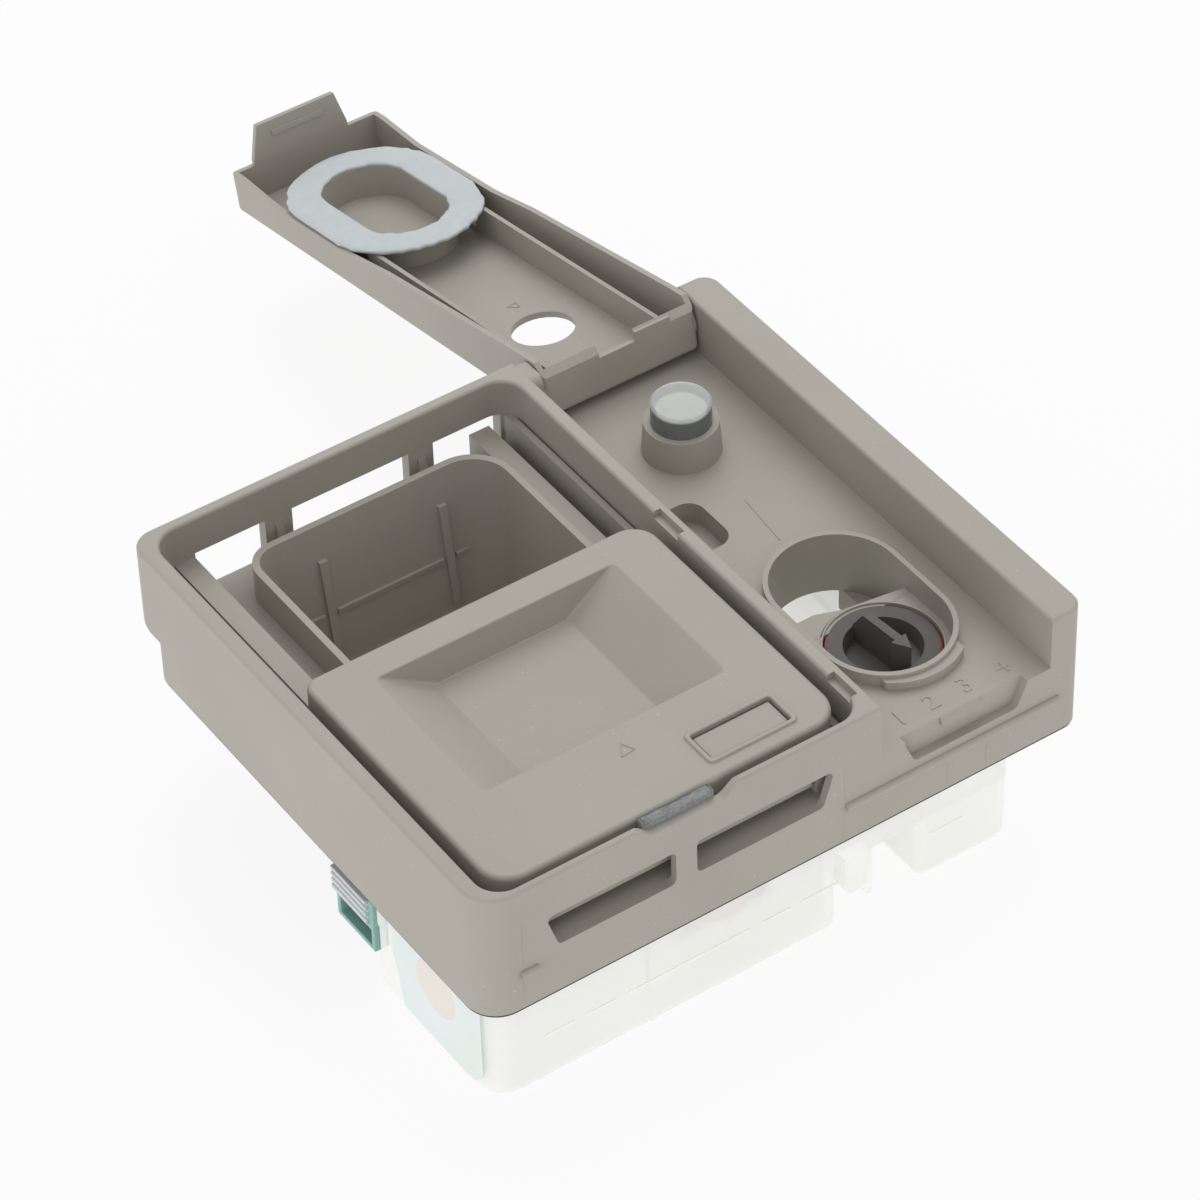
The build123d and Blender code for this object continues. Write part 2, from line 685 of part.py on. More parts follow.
def make_rinse_flap():
    outer = along_x(flap_profile(), flap_x0, flap_x1)
    low = -hinge_z
    outer = fillet(outer.edges().filter_by(Axis.Y).group_by(Axis.Z)[0], 1.5)
    heel = outer.edges().filter_by(Axis.X).group_by(Axis.Z)[0].sort_by(Axis.Y)
    outer = fillet([heel[0], heel[-1]], 1.4)
    w = flap_wall
    inside = block(flap_x0 + w, flap_x1 - w, -flap_heel + w, flap_l, low + flap_plate, tab_h1)
    flap = outer - inside

    # Two ribs along the flap, lower beyond the ring.
    for x in flap_rib_x:
        half = flap_rib_t / 2
        flap += block(x - half, x + half, -flap_heel + 0.5, flap_rib_l, low + 1, flap_rib_h)
        flap += block(x - half, x + half, flap_rib_l - 1, flap_l + 0.1, low + 1, low + flap_plate + flap_rib_t)

    # End wall at the heel, notched in the middle and higher beside the right rib.
    heel_x = (flap_x0 + flap_x1) / 2
    flap -= block(heel_x - 6, heel_x + 5, -flap_heel - 1, -flap_heel + w + 0.1, flap_h0 - 4.6, flap_h0 + 1)
    flap += block(heel_x + 5, flap_rib_x[1], -flap_heel, -flap_heel + w, flap_h0 - 5.0, flap_h0 - 2.2)

    # Hole for the sight glass.
    lens_s = hinge_y - lens_y
    flap -= post(lens_x, lens_s, lens_r + flap_hole_gap, low - 1, low + flap_plate + 1)

    # Wall that carries the ring seal over the collar.
    s0, s1 = hinge_y - collar_y1, hinge_y - collar_y0
    seat = ring_face() - ring_t
    wall = stadium(collar_x, s0, s1, ring_in + ring_wall)
    flap += slab(wall, low + 1, seat)
    flap -= slab(stadium(collar_x, s0, s1, ring_in), low + flap_plate, seat + 1)

    # Tab with a barb at the tip.
    tip = flap_l + tab_t
    mid = (flap_x0 + flap_x1) / 2 - 1.5
    tab = along_y(
        (
            (mid - tab_base / 2, low + 1),
            (mid - tab_base / 2, tab_h0 + 4),
            (mid - tab_end / 2, tab_h1),
            (mid + tab_end / 2, tab_h1),
            (mid + tab_base / 2, tab_h0 + 4),
            (mid + tab_base / 2, low + 1),
        ),
        flap_l,
        tip,
    )
    barb_top = rinse_floor + wedge_h - hinge_z + 2.2
    tab += block(mid - tab_end / 3, mid + tab_end / 3, flap_l - tab_barb, flap_l + 0.1, barb_top - 1.4, barb_top)
    flap += tab

    # Hinge pins.
    flap += rod_x(flap_x0 - pin_l, flap_x0 + w, 0, 0, pin_r)
    flap += rod_x(flap_x1 - w, flap_x1 + pin_l, 0, 0, pin_r)
    cheek = slab(Circle(pin_r + 2.2), 0, w)
    flap += Pos(flap_x0, 0, 0) * Rot(0, 90, 0) * cheek
    flap += Pos(flap_x1 - w, 0, 0) * Rot(0, 90, 0) * cheek
    return flap_frame() * flap


def ring_face():
    """Height of the ring seal's face in the flap's own plane, so that it just clears the closed collar."""
    return rinse_floor - collar_h - hinge_z - ring_gap


def make_flap_seal():
    s0, s1 = hinge_y - collar_y1, hinge_y - collar_y0
    face = ring_face()
    ring = slab(stadium(collar_x, s0, s1, ring_out), face - ring_t, face)
    ring -= slab(stadium(collar_x, s0, s1, ring_in), face - ring_t - 1, face + 1)
    return flap_frame() * ring


def make_dose_dial():
    r = dial_r
    hub_low = -dial_top - dial_dish - dial_shell
    profile = Polyline(
        (0, -dial_top - dial_dish),
        (dial_dish_r - 0.8, -dial_top - dial_dish),
        (dial_dish_r, -dial_top),
        (r, -dial_top),
        (r, -dial_top - 0.6),
        (r - 0.7, -dial_top - 0.6),
        (r - 0.7, -dial_top - 0.6 - ring_section),
        (r, -dial_top - 0.6 - ring_section),
        (r, -dial_top - dial_t),
        (dial_dish_r + dial_shell, -dial_top - dial_t),
        (dial_dish_r + dial_shell, hub_low),
        (dial_stem_r, hub_low),
        (dial_stem_r, hub_low - dial_stem),
        (0, hub_low - dial_stem),
        close=True,
    )
    dial = revolve(Plane.XZ * make_face(profile), Axis.Z)
    fin_y = fin_l / 2
    fin = block(-fin_w / 2, fin_w / 2, -fin_y + arrow_l, fin_y, -dial_top - dial_dish - 0.2, -fin_top)
    ramp = along_x(
        ((fin_y - 3.5, -fin_top + 0.1), (fin_y + 0.1, -fin_top + 0.1), (fin_y + 0.1, -dial_top + 0.4)),
        -fin_w,
        fin_w,
    )
    fin -= ramp
    head = make_face(Polyline((-arrow_w / 2, -fin_y + arrow_l), (0, -fin_y), (arrow_w / 2, -fin_y + arrow_l), close=True))
    fin += slab(head, -dial_top - dial_dish - 0.2, -fin_top)
    dial += fin & post(0, 0, r - 0.6, -dial_top - dial_dish - 0.2, -fin_top)
    return Pos(collar_x, collar_y0) * Rot(0, 0, dial_turned) * dial


def make_dial_o_ring():
    z0 = -dial_top - 0.6 - ring_section
    ring = post(collar_x, collar_y0, seat_r - seat_wall - dial_gap, z0 + 0.05, z0 + ring_section - 0.05)
    ring -= post(collar_x, collar_y0, dial_r - 0.7 + 0.02, z0 - 1, z0 + ring_section + 1)
    return chamfer(ring.edges().filter_by(GeomType.CIRCLE).group_by(SortBy.RADIUS)[-1], 0.3)


def make_sight_glass():
    low = -lens_length
    glass = post(lens_x, lens_y, lens_r, low, -0.1)
    seat = -rinse_floor - floor_t
    glass += post(lens_x, lens_y, lens_r + 1.8, seat - 1.6, seat)
    glass -= post(lens_x, lens_y, lens_r - lens_wall, low - 1, -0.1 - 2 * lens_wall)
    return chamfer(glass.edges().group_by(Axis.Z)[-1], 0.5)


def house_plan(inset):
    """L-shaped outline of the housing: a bin across the front and an arm up the right side."""
    i = inset
    a = plan(house_x0 + i, house_y0 + i, house_x1 - i, bin_y1 - i, grown((8.0, 4.5, 0, 2.0), -i))
    b = plan(arm_x0 + i, house_y0 + i, house_x1 - i, house_y1 - i, grown((0, 4.5, 4.5, 4.5), -i))
    return a + b


def make_rear_housing():
    s = house_skin
    roof = -body_z
    house = slab(house_plan(0), shelf_low, roof)
    bin_out = plan(house_x0, house_y0, bin_x1, bin_y1, (8.0, 3.0, 3.0, 3.0))
    deep = slab(bin_out, bin_low, shelf_low + 0.1)
    deep = fillet(deep.faces().sort_by(Axis.Z)[0].edges(), 3.0)
    house += deep
    house -= slab(house_plan(s), shelf_low + s, roof + 1)
    bin_in = plan(house_x0 + s, house_y0 + s, bin_x1 - s, bin_y1 - s, (6.2, 1.5, 1.5, 1.5))
    house -= slab(bin_in, bin_low + s, roof + 1)

    # Wall beside the tank, and the opening over it.
    wall_x = tank_x0 - s
    house += block(wall_x, tank_x0, house_y0 + 0.5, house_y1 - 0.5, shelf_low, roof)
    t = tank_skin
    mouth = plan(tank_x0 + t, house_y0 + t + 0.2, house_x1 - s, house_y1 - s, (3,) * 4)
    house -= slab(mouth, shelf_low - 1, shelf_low + s + 0.1)

    # Low webs in the bin, the spout and the peg beside it.
    for x in web_x:
        house += block(x - 0.7, x + 0.7, house_y0 + 0.5, house_y0 + 9, bin_low + 1, roof - 6)
    spout = block(spout_x0, spout_x1, house_y0, house_y0 + spout_y, shelf_low - spout_drop, shelf_low + 0.1)
    house += fillet(spout.edges().filter_by(Axis.Y).group_by(Axis.Z)[0], 2.0)
    house += post(peg_x + 0.9, house_y0 + 4, peg_r, shelf_low - peg_drop, shelf_low + 0.1)

    # Screw ears.
    for x, y in ears:
        if y < bin_y1 + ear_r + 1 and x < bin_x1:
            house += block(x - ear_r, x + ear_r, bin_y1 - 0.5, y, roof - ear_t, roof)
        elif x < arm_x0:
            house += block(x, arm_x0 + 0.5, y - ear_r, y + ear_r, roof - ear_t, roof)
        else:
            house += block(house_x1 - 0.5, x, y - ear_r, y + ear_r, roof - ear_t, roof)
        house += post(x, y, ear_r, roof - ear_t, roof)
        house -= post(x, y, screw_r + 0.15, roof - ear_t - 1, roof + 1)

    # Bearings for the lever's pin, standing on the arm's floor.
    for x in (lever_x - lever_w / 2 - 0.4 - 1.8, lever_x + lever_w / 2 + 0.4):
        house += block(x, x + 1.8, lever_y - 3, lever_y + 3, shelf_low + s - 0.1, lever_z() + 3)
        house -= rod_x(x - 1, x + 2.8, lever_y, lever_z(), lever_pin_r)

    return house


def lever_z():
    return shelf_low + house_skin + lever_height


def make_flange_gasket():
    i, g = gasket_in, fit_gap
    roof = -body_z
    ring = slab(plan(i, i, body_x - i, flange_y - i, grown(body_corners, -i)), roof - gasket_t, roof)
    clear = plan(house_x0 - g, house_y0 - g, body_x - flange_w + 2, flange_y - 3, (house_corners[0], 2, 2, 2))
    return ring - slab(clear, roof - 2 * gasket_t, roof + gasket_t)


def make_rinse_tank():
    t = tank_skin
    top = shelf_low
    tank = slab(plan(tank_x0, house_y0 + 0.2, house_x1, house_y1, (3.0, *house_corners[1:])), tank_low, top)
    tank = fillet(tank.faces().sort_by(Axis.Z)[0].edges(), 4.0)
    tank -= slab(plan(tank_x0 + t, house_y0 + 0.2 + t, house_x1 - t, house_y1 - t, (2.0, 3, 3, 3)), tank_low + t, top + 1)
    return tank


def make_housing_screws():
    group = []
    for x, y in ears:
        z = -body_z - ear_t
        head = post(x, y, 3.0, z - 2.0, z)
        head -= block(x - 2.0, x + 2.0, y - 0.4, y + 0.4, z - 2.1, z - 1.0)
        head -= block(x - 0.4, x + 0.4, y - 2.0, y + 2.0, z - 2.1, z - 1.0)
        group.append(head + post(x, y, screw_r - 0.05, z - 0.1, z + screw_l))
    return Compound(children=group)


def make_connector_shell():
    x0, y0 = house_x0 - 0.3, bin_y1
    x1, y1 = x0 + plug_x, y0 + plug_y
    w = plug_wall
    shell = along_x(
        ((y0, -plug_z1), (y0, -plug_z0), (y0 + 2, -plug_z0), (y0 + 2, -plug_z0 - plug_step), (y1, -plug_z0 - plug_step), (y1, -plug_z1)),
        x0,
        x1,
    )
    shell -= block(x0 - 1, x1 - 3, y0 + w, y1 - w, -plug_z1 + w, -plug_z0 - plug_step - w)
    shell -= block(x0 - 1, x0 + 6, y0 + 8.5, y0 + 12.5, -plug_z0 - plug_step - w - 1, -plug_z0)
    for y in terminal_places():
        z = -(plug_z1 + plug_z0 + plug_step) / 2
        shell -= block(x1 - 4, x1 + 1, y - terminal_t / 2, y + terminal_t / 2, z - terminal_w / 2 + 1.6, z + terminal_w / 2 - 1.6)
    return shell


def terminal_places():
    mid = bin_y1 + plug_y / 2
    return (mid - 3.2, mid + 3.2)


def make_connector_terminals():
    z = -(plug_z1 + plug_z0 + plug_step) / 2
    x1 = house_x0 - 0.3 + plug_x
    blades = []
    for y in terminal_places():
        blades.append(
            block(x1 - terminal_l + 1, x1 + 3, y - terminal_t / 2, y + terminal_t / 2, z - terminal_w / 2 + 1.6, z + terminal_w / 2 - 1.6)
        )
    return Compound(children=blades)


def make_wire_clip():
    x0, y0 = house_x0 - 1.0, bin_y1 + 2 + 0.2
    x1, y1 = x0 + plug_x, bin_y1 + plug_y + 1
    top = -plug_z0 - plug_step + clip_t
    clip = block(x0, x1, y0, y1, -plug_z0 - plug_step, top)
    for i in range(3):
        z = top - 1.2 - i * 2.0
        clip -= block(x0 - 1, x0 + 0.8, y0 - 1, y1 + 1, z - 0.8, z)
    return clip


coil_low = bin_low + house_skin + yoke_t + bobbin_gap


def make_solenoid_frame():
    x0, x1 = coil_x - coil_r - 2.5, coil_x + coil_r + 2.5
    z0 = bin_low + house_skin
    z1 = coil_low + coil_l + bobbin_gap + yoke_t
    y0, y1 = coil_y - yoke_half, coil_y + yoke_half
    frame = block(x0, x1, y0, y1, z0, z1)
    frame -= block(x0 + yoke_t, x1 - yoke_t, y0 - 1, y1 + 1, z0 + yoke_t, z1 - yoke_t)
    frame -= post(coil_x, coil_y, plunger_r + 0.5, z1 - yoke_t - 1, z1 + 1)
    return frame


def make_solenoid_bobbin():
    w = bobbin_wall
    tube = post(coil_x, coil_y, coil_bore, coil_low, coil_low + coil_l)
    tube += post(coil_x, coil_y, coil_r, coil_low, coil_low + w)
    tube += post(coil_x, coil_y, coil_r, coil_low + coil_l - w, coil_low + coil_l)
    tube -= post(coil_x, coil_y, plunger_r + plunger_gap, coil_low + w, coil_low + coil_l + 1)
    return tube


def make_coil_winding():
    w = bobbin_wall
    coil = post(coil_x, coil_y, coil_r - 0.8, coil_low + w, coil_low + coil_l - w)
    return coil - post(coil_x, coil_y, coil_bore, coil_low, coil_low + coil_l)


def plunger_top():
    return lever_z() + lever_t / 2 + lever_play + 2.0


def make_plunger():
    low = coil_low + bobbin_wall + plunger_travel + 1.0
    neck_low = lever_z() - lever_t / 2 - lever_play
    rod = post(coil_x, coil_y, plunger_r, low, neck_low)
    rod += post(coil_x, coil_y, plunger_neck_r, neck_low - 0.1, plunger_top() - 1.9)
    rod += post(coil_x, coil_y, plunger_r, plunger_top() - 2.0, plunger_top())
    return rod


def make_release_lever():
    z = lever_z()
    t = lever_t / 2
    x0, x1 = lever_x - lever_w / 2, lever_x + lever_w / 2
    bar = block(x0, x1, coil_y - lever_w / 2, valve_y + 3, z - t, z + t)
    bar += rod_x(x0, x1, lever_y, z, 3.2)
    bar += block(coil_x - fork_half, x0 + 1, coil_y - 3.5, coil_y + 3.5, z - t, z + t)
    bar -= post(coil_x, coil_y, plunger_neck_r + 0.5, z - 5, z + 5)
    bar -= block(coil_x - 2 * fork_half, coil_x, coil_y - plunger_neck_r - 0.5, coil_y + plunger_neck_r + 0.5, z - 5, z + 5)
    bar -= rod_x(x0 - 1, x1 + 1, lever_y, z, lever_pin_r + pin_gap)
    return bar


def make_lever_pivot_pin():
    half = lever_w / 2 + 0.4 + 1.8
    return rod_x(lever_x - half, lever_x + half, lever_y, lever_z(), lever_pin_r)


def valve_low():
    return lever_z() + lever_t / 2 + fit_gap


def make_metering_valve():
    head_low = -body_z + valve_seat
    valve = post(lever_x, valve_y, valve_stem_r, valve_low(), head_low + 0.1)
    valve += post(lever_x, valve_y, valve_r, head_low, head_low + valve_head)
    return valve


def make_valve_washer():
    z = -body_z + valve_seat + valve_head
    return post(lever_x, valve_y, valve_r - 0.6, z, z + 0.8) - post(lever_x, valve_y, 1.0, z - 1, z + 2)


def make_valve_spring():
    z0 = -body_z + valve_seat + valve_head + 0.8
    z1 = -rinse_floor - pocket_depth - floor_t
    return coil_spring(lever_x, valve_y, z0, z1, 2.4, spring_wire, 3)


pieces = {
    "front_moulding": make_front_moulding(),
    "sliding_door": make_sliding_door(),
    "door_seal": make_door_seal(),
    "front_bumper": make_front_bumper(),
    "latch_button": make_latch_button(),
    "button_spring": make_button_spring(),
    "rinse_flap": make_rinse_flap(),
    "flap_seal": make_flap_seal(),
    "dose_dial": make_dose_dial(),
    "dial_o_ring": make_dial_o_ring(),
    "sight_glass": make_sight_glass(),
    "rear_housing": make_rear_housing(),
    "flange_gasket": make_flange_gasket(),
    "rinse_tank": make_rinse_tank(),
    "housing_screws": make_housing_screws(),
    "connector_shell": make_connector_shell(),
    "connector_terminals": make_connector_terminals(),
    "wire_clip": make_wire_clip(),
    "solenoid_frame": make_solenoid_frame(),
    "solenoid_bobbin": make_solenoid_bobbin(),
    "coil_winding": make_coil_winding(),
    "plunger": make_plunger(),
    "release_lever": make_release_lever(),
    "lever_pivot_pin": make_lever_pivot_pin(),
    "metering_valve": make_metering_valve(),
    "valve_washer": make_valve_washer(),
    "valve_spring": make_valve_spring(),
}

os.makedirs("parts", exist_ok=True)
to_origin = Pos(-body_x / 2, -flange_y / 2, body_z)
for name, solid in pieces.items():
    export_step(to_origin * solid, f"parts/{name}.step")
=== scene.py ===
"""Looks of the dishwasher dispenser: dressed mouldings, seals, digits, label, finishes, stage and camera."""

import json
import math
import random

import bmesh
import bpy
from mathutils import Matrix, Vector
from mathutils.bvhtree import BVHTree

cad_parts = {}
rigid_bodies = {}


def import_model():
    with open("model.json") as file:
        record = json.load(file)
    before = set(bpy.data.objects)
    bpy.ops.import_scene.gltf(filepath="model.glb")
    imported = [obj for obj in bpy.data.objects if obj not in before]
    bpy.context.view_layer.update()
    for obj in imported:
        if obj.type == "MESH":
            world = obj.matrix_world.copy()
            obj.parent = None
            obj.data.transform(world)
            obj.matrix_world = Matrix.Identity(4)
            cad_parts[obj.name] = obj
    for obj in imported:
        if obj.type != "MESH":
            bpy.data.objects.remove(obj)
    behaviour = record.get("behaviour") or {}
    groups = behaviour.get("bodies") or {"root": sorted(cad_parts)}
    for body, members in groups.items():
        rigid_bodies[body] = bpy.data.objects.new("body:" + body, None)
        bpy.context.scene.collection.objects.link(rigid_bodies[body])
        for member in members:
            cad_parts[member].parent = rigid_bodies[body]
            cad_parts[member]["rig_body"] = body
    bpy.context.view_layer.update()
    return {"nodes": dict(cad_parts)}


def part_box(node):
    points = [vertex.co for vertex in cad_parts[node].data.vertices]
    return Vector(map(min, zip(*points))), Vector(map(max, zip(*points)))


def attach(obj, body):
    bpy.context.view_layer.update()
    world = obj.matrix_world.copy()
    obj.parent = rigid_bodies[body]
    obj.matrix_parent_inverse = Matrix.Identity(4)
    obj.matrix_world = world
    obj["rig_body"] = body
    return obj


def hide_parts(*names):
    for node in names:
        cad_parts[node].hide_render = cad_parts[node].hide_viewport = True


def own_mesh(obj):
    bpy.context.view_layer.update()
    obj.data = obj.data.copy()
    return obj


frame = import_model()
NODES = frame["nodes"]

bl_info = {
    "name": "Dishwasher dispenser dressing",
    "version": (1, 0, 0),
    "blender": (4, 5, 0),
    "location": "View3D > Sidebar > Dispenser",
    "description": "Dresses the dispenser's solids with mouldings, seals, marks, finishes and a stage",
    "category": "Object",
}

# The solids are in metres. All lengths below are in millimetres unless a note says otherwise.
MM = 0.001
# The solids' origin is the middle of the sealing flange. These turn sizes taken from the front moulding's
# left, front and top faces into the solids' own place.
SHIFT = Vector((-84.0, -71.5, 36.8))
HINGE = Vector((0.0, 145.0, -6.9)) + SHIFT
FLAP_DROP = math.radians(11.5)

UP = Vector((0, 0, 1))
DOWN = Vector((0, 0, -1))
BACK = Vector((0, 1, 0))
RIGHT = Vector((1, 0, 0))
WHITE = (1.0, 1.0, 1.0, 1.0)

# Points of a solid's mesh that lie closer than this are one point.
MERGE = 0.002
# How much flat sides may turn, in degrees, to become one face.
FLAT = 0.3
# Edges that turn more than this, in degrees, stay sharp and are rounded.
CRISP = 32
# Places to start from when a solid's surface is looked for: before its front or left, or above it.
BEFORE = -20
ABOVE_RIM, ABOVE_FLAP = 3, 12

# Parting lines down the front wall: place from the left, top and bottom.
PARTING_LINES = (
    (10.5, -10.7, -35.7),
    (99.0, -12.9, -24.6),
    (99.0, -27.2, -36.3),
    (128.7, -28.9, -36.0),
    (140.0, -29.6, -36.0),
)
PARTING_WIDTH, PARTING_HEIGHT = 0.3, 0.08
FLOOR_MARK = ((135.4, 89.4), (133.8, 72.9))
DIGITS = (("1", 120.0), ("2", 129.1), ("3", 138.9), ("4", 149.3))
DIGIT_ROW = 7.2
DOOR_MARK = ((55.7, 26.4), (57.3, 23.2), (53.5, 22.8))
FLAP_MARK = ((135.9, 44.4), (133.6, 46.6), (136.6, 47.0))

# The round front left corner, and the heights between which the flange is trimmed to it.
CORNER_ROUND, CORNER_GAP = 8.5, 0.03
FLANGE_LOW, FLANGE_HIGH = -37.5, -34.0
# The well's round wall, and the right side, front and top of its outlet.
WELL_X, WELL_Y, WELL_ROUND = 134.0, 50.5, 18.4
OUTLET_RIGHT, OUTLET_FRONT, OUTLET_TOP = 144.9, 42.5, -29.9
PLATFORM = ((117.9, 42.9), (150.1, 42.9), (150.1, 45.0), (133.6, 47.5), (127.0, 50.0), (117.9, 50.0))
PLATFORM_LOW, PLATFORM_HIGH = -21.1, -18.7

LENS_ROUND = 7.55
# Short ribs along the housing's seam: left and right end of each. Those past TANK_LEFT are on the tank.
SEAM_RIBS = ((18.1, 26.3), (29.1, 37.9), (40.8, 75.4), (78.8, 86.9), (89.7, 100.6), (127.1, 137.2))
SEAM_Z, SEAM_DEPTH, TANK_LEFT = -55.2, 0.5, 120
# The label's outline as (y, z), after its round corner, and its disc.
LABEL = (
    (28.0, -68.0), (41.5, -68.0), (43.0, -60.0), (45.5, -52.0), (44.2, -45.0), (46.2, -38.6), (8.5, -38.6),
)
LABEL_CORNER_Y, LABEL_CORNER_Z, LABEL_ROUND = 15.5, -61.0, 7.0
LABEL_OUT, LABEL_IN = 0.12, 0.02
DISC_PLACE, DISC_WIDE, DISC_HIGH = (3.6, 27.0, -50.0), 8.2, 7.6

SPRING_WIRE, SPRING_TURNS = 0.6, 3.0
# The sprung pieces: solid, joint, height of the fixed end, and travel.
SPRINGS = (("button_spring", "button_press", -10.2, 2.5), ("valve_spring", "valve_lift", -23.4, 2.8))

# The camera that was fitted to the photograph: place in metres, heading, tilt and roll in degrees, and lens.
CAMERA_PLACE = (-0.505654, -0.764334, 0.878099)
CAMERA_HEADING, CAMERA_TILT, CAMERA_ROLL = -33.331, 42.767, -1.9
CAMERA_LENS, CAMERA_SENSOR = 160.545, 36.0
CAMERA_NEAR, CAMERA_FAR = 0.05, 20.0
# Lamps: name, place, aim, width and height in metres, and power in watts.
LAMPS = (
    ("key", (0.50, 0.58, 1.30), (0.0, 0.03, 0.0), 1.2, 1.2, 7.8),
    ("fill_front", (-0.30, -1.20, 0.01), (0.0, 0.0, 0.0), 1.6, 0.07, 1.5),
    ("fill_left", (-1.20, -0.05, 0.01), (0.0, 0.0, 0.0), 1.6, 0.07, 2.9),
)
# Half the floor's width in metres, and the gap between it and the tank.
FLOOR_HALF, FLOOR_GAP = 3.0, 0.02


def at(x, y, z):
    """A point given in millimetres from the left, front and top faces."""
    return (Vector((x, y, z)) + SHIFT) * MM


def on_flap(x, s, h):
    """A point on the open flap: s runs from the hinge to the tip, h towards its inner side."""
    c, n = math.cos(FLAP_DROP), math.sin(FLAP_DROP)
    return Vector((x + SHIFT.x, HINGE.y + s * c + h * n, HINGE.z - s * n + h * c)) * MM


# Sizes and colours that a user may change

COLOUR = {"subtype": "COLOR", "size": 3, "min": 0, "max": 1}
LENGTH = {"subtype": "DISTANCE", "unit": "LENGTH", "min": 0}


class DispenserColours(bpy.types.PropertyGroup):
    """Colours of the dispenser's finishes."""

    plastic: bpy.props.FloatVectorProperty(
        name="Plastic", description="Taupe of the mouldings", default=(0.400, 0.378, 0.332), **COLOUR
    )
    milky: bpy.props.FloatVectorProperty(
        name="Milky", description="Rear housing and tank", default=(0.955, 0.96, 0.93), **COLOUR
    )
    silicone: bpy.props.FloatVectorProperty(
        name="Silicone", description="Seals", default=(0.555, 0.600, 0.607), **COLOUR
    )
    bumper: bpy.props.FloatVectorProperty(
        name="Bumper", description="Silicone in the front rim", default=(0.545, 0.575, 0.565), **COLOUR
    )
    dial: bpy.props.FloatVectorProperty(
        name="Dial", description="Dose dial", default=(0.128, 0.121, 0.113), **COLOUR
    )
    socket: bpy.props.FloatVectorProperty(
        name="Socket", description="Green plug socket", default=(0.25, 0.47, 0.42), **COLOUR
    )
    ring: bpy.props.FloatVectorProperty(
        name="Ring", description="Rubber ring of the dial", default=(0.36, 0.055, 0.035), **COLOUR
    )


class DispenserSizes(bpy.types.PropertyGroup):
    """Sizes of the details that are added to the solids."""

    edge_round: bpy.props.FloatProperty(
        name="Edge round", description="Rounding of the moulded edges", default=0.22 * MM, **LENGTH
    )
    digit_height: bpy.props.FloatProperty(
        name="Digit height", description="Height of the dial's digits", default=5.4 * MM, **LENGTH
    )
    mark_relief: bpy.props.FloatProperty(
        name="Mark relief", description="How far marks stand proud", default=0.28 * MM, **LENGTH
    )
    seal_wave: bpy.props.FloatProperty(
        name="Seal wave", description="Unevenness of the flap seal's edge", default=0.42 * MM, **LENGTH
    )
    dash_height: bpy.props.FloatProperty(
        name="Dash height", description="Height of the short ribs on the seam", default=0.5 * MM, **LENGTH
    )
    winding_wire: bpy.props.FloatProperty(
        name="Winding wire", description="Thickness of the coil's wire", default=0.5 * MM, **LENGTH
    )


# Nodes of shader and geometry trees


def feed(tree, slot, value):
    """Links or sets one input of a node."""
    if isinstance(value, Value):
        value = value.socket
    if isinstance(value, bpy.types.NodeSocket):
        tree.links.new(value, slot)
    else:
        slot.default_value = value


def add_node(tree, kind, settings, inputs):
    """A node with its settings and with its inputs fed by name."""
    made = tree.nodes.new(kind)
    for key, value in (settings or {}).items():
        setattr(made, key, value)
    for key, value in inputs.items():
        feed(tree, made.inputs[key.replace("_", " ")], value)
    return made


class Value:
    """A number socket; arithmetic on it adds Math nodes."""

    def __init__(self, tree, socket):
        self.tree = tree
        self.socket = socket

    def _math(self, operation, other):
        node = self.tree.nodes.new("ShaderNodeMath")
        node.operation = operation
        feed(self.tree, node.inputs[0], self)
        feed(self.tree, node.inputs[1], other)
        return Value(self.tree, node.outputs[0])

    def __add__(self, other):
        return self._math("ADD", other)

    __radd__ = __add__

    def __mul__(self, other):
        return self._math("MULTIPLY", other)

    def __sub__(self, other):
        return self._math("SUBTRACT", other)

    def __rsub__(self, other):
        return (self * -1.0) + other

    def above(self, edge, width):
        """0 below the edge, 1 above it, with a soft step of that width."""
        return ((self - edge) * (1.0 / width) + 0.5).clamped()

    def clamped(self):
        result = self._math("ADD", 0.0)
        result.socket.node.use_clamp = True
        return result


def seen_directly(tree):
    """1 for rays from the camera and for reflections and clear pieces, 0 for the light on the part."""
    rays = tree.nodes.new("ShaderNodeLightPath").outputs
    seen = Value(tree, rays["Is Camera Ray"]) + Value(tree, rays["Is Glossy Ray"])
    return (seen + Value(tree, rays["Is Transmission Ray"])).clamped()


# Finishes


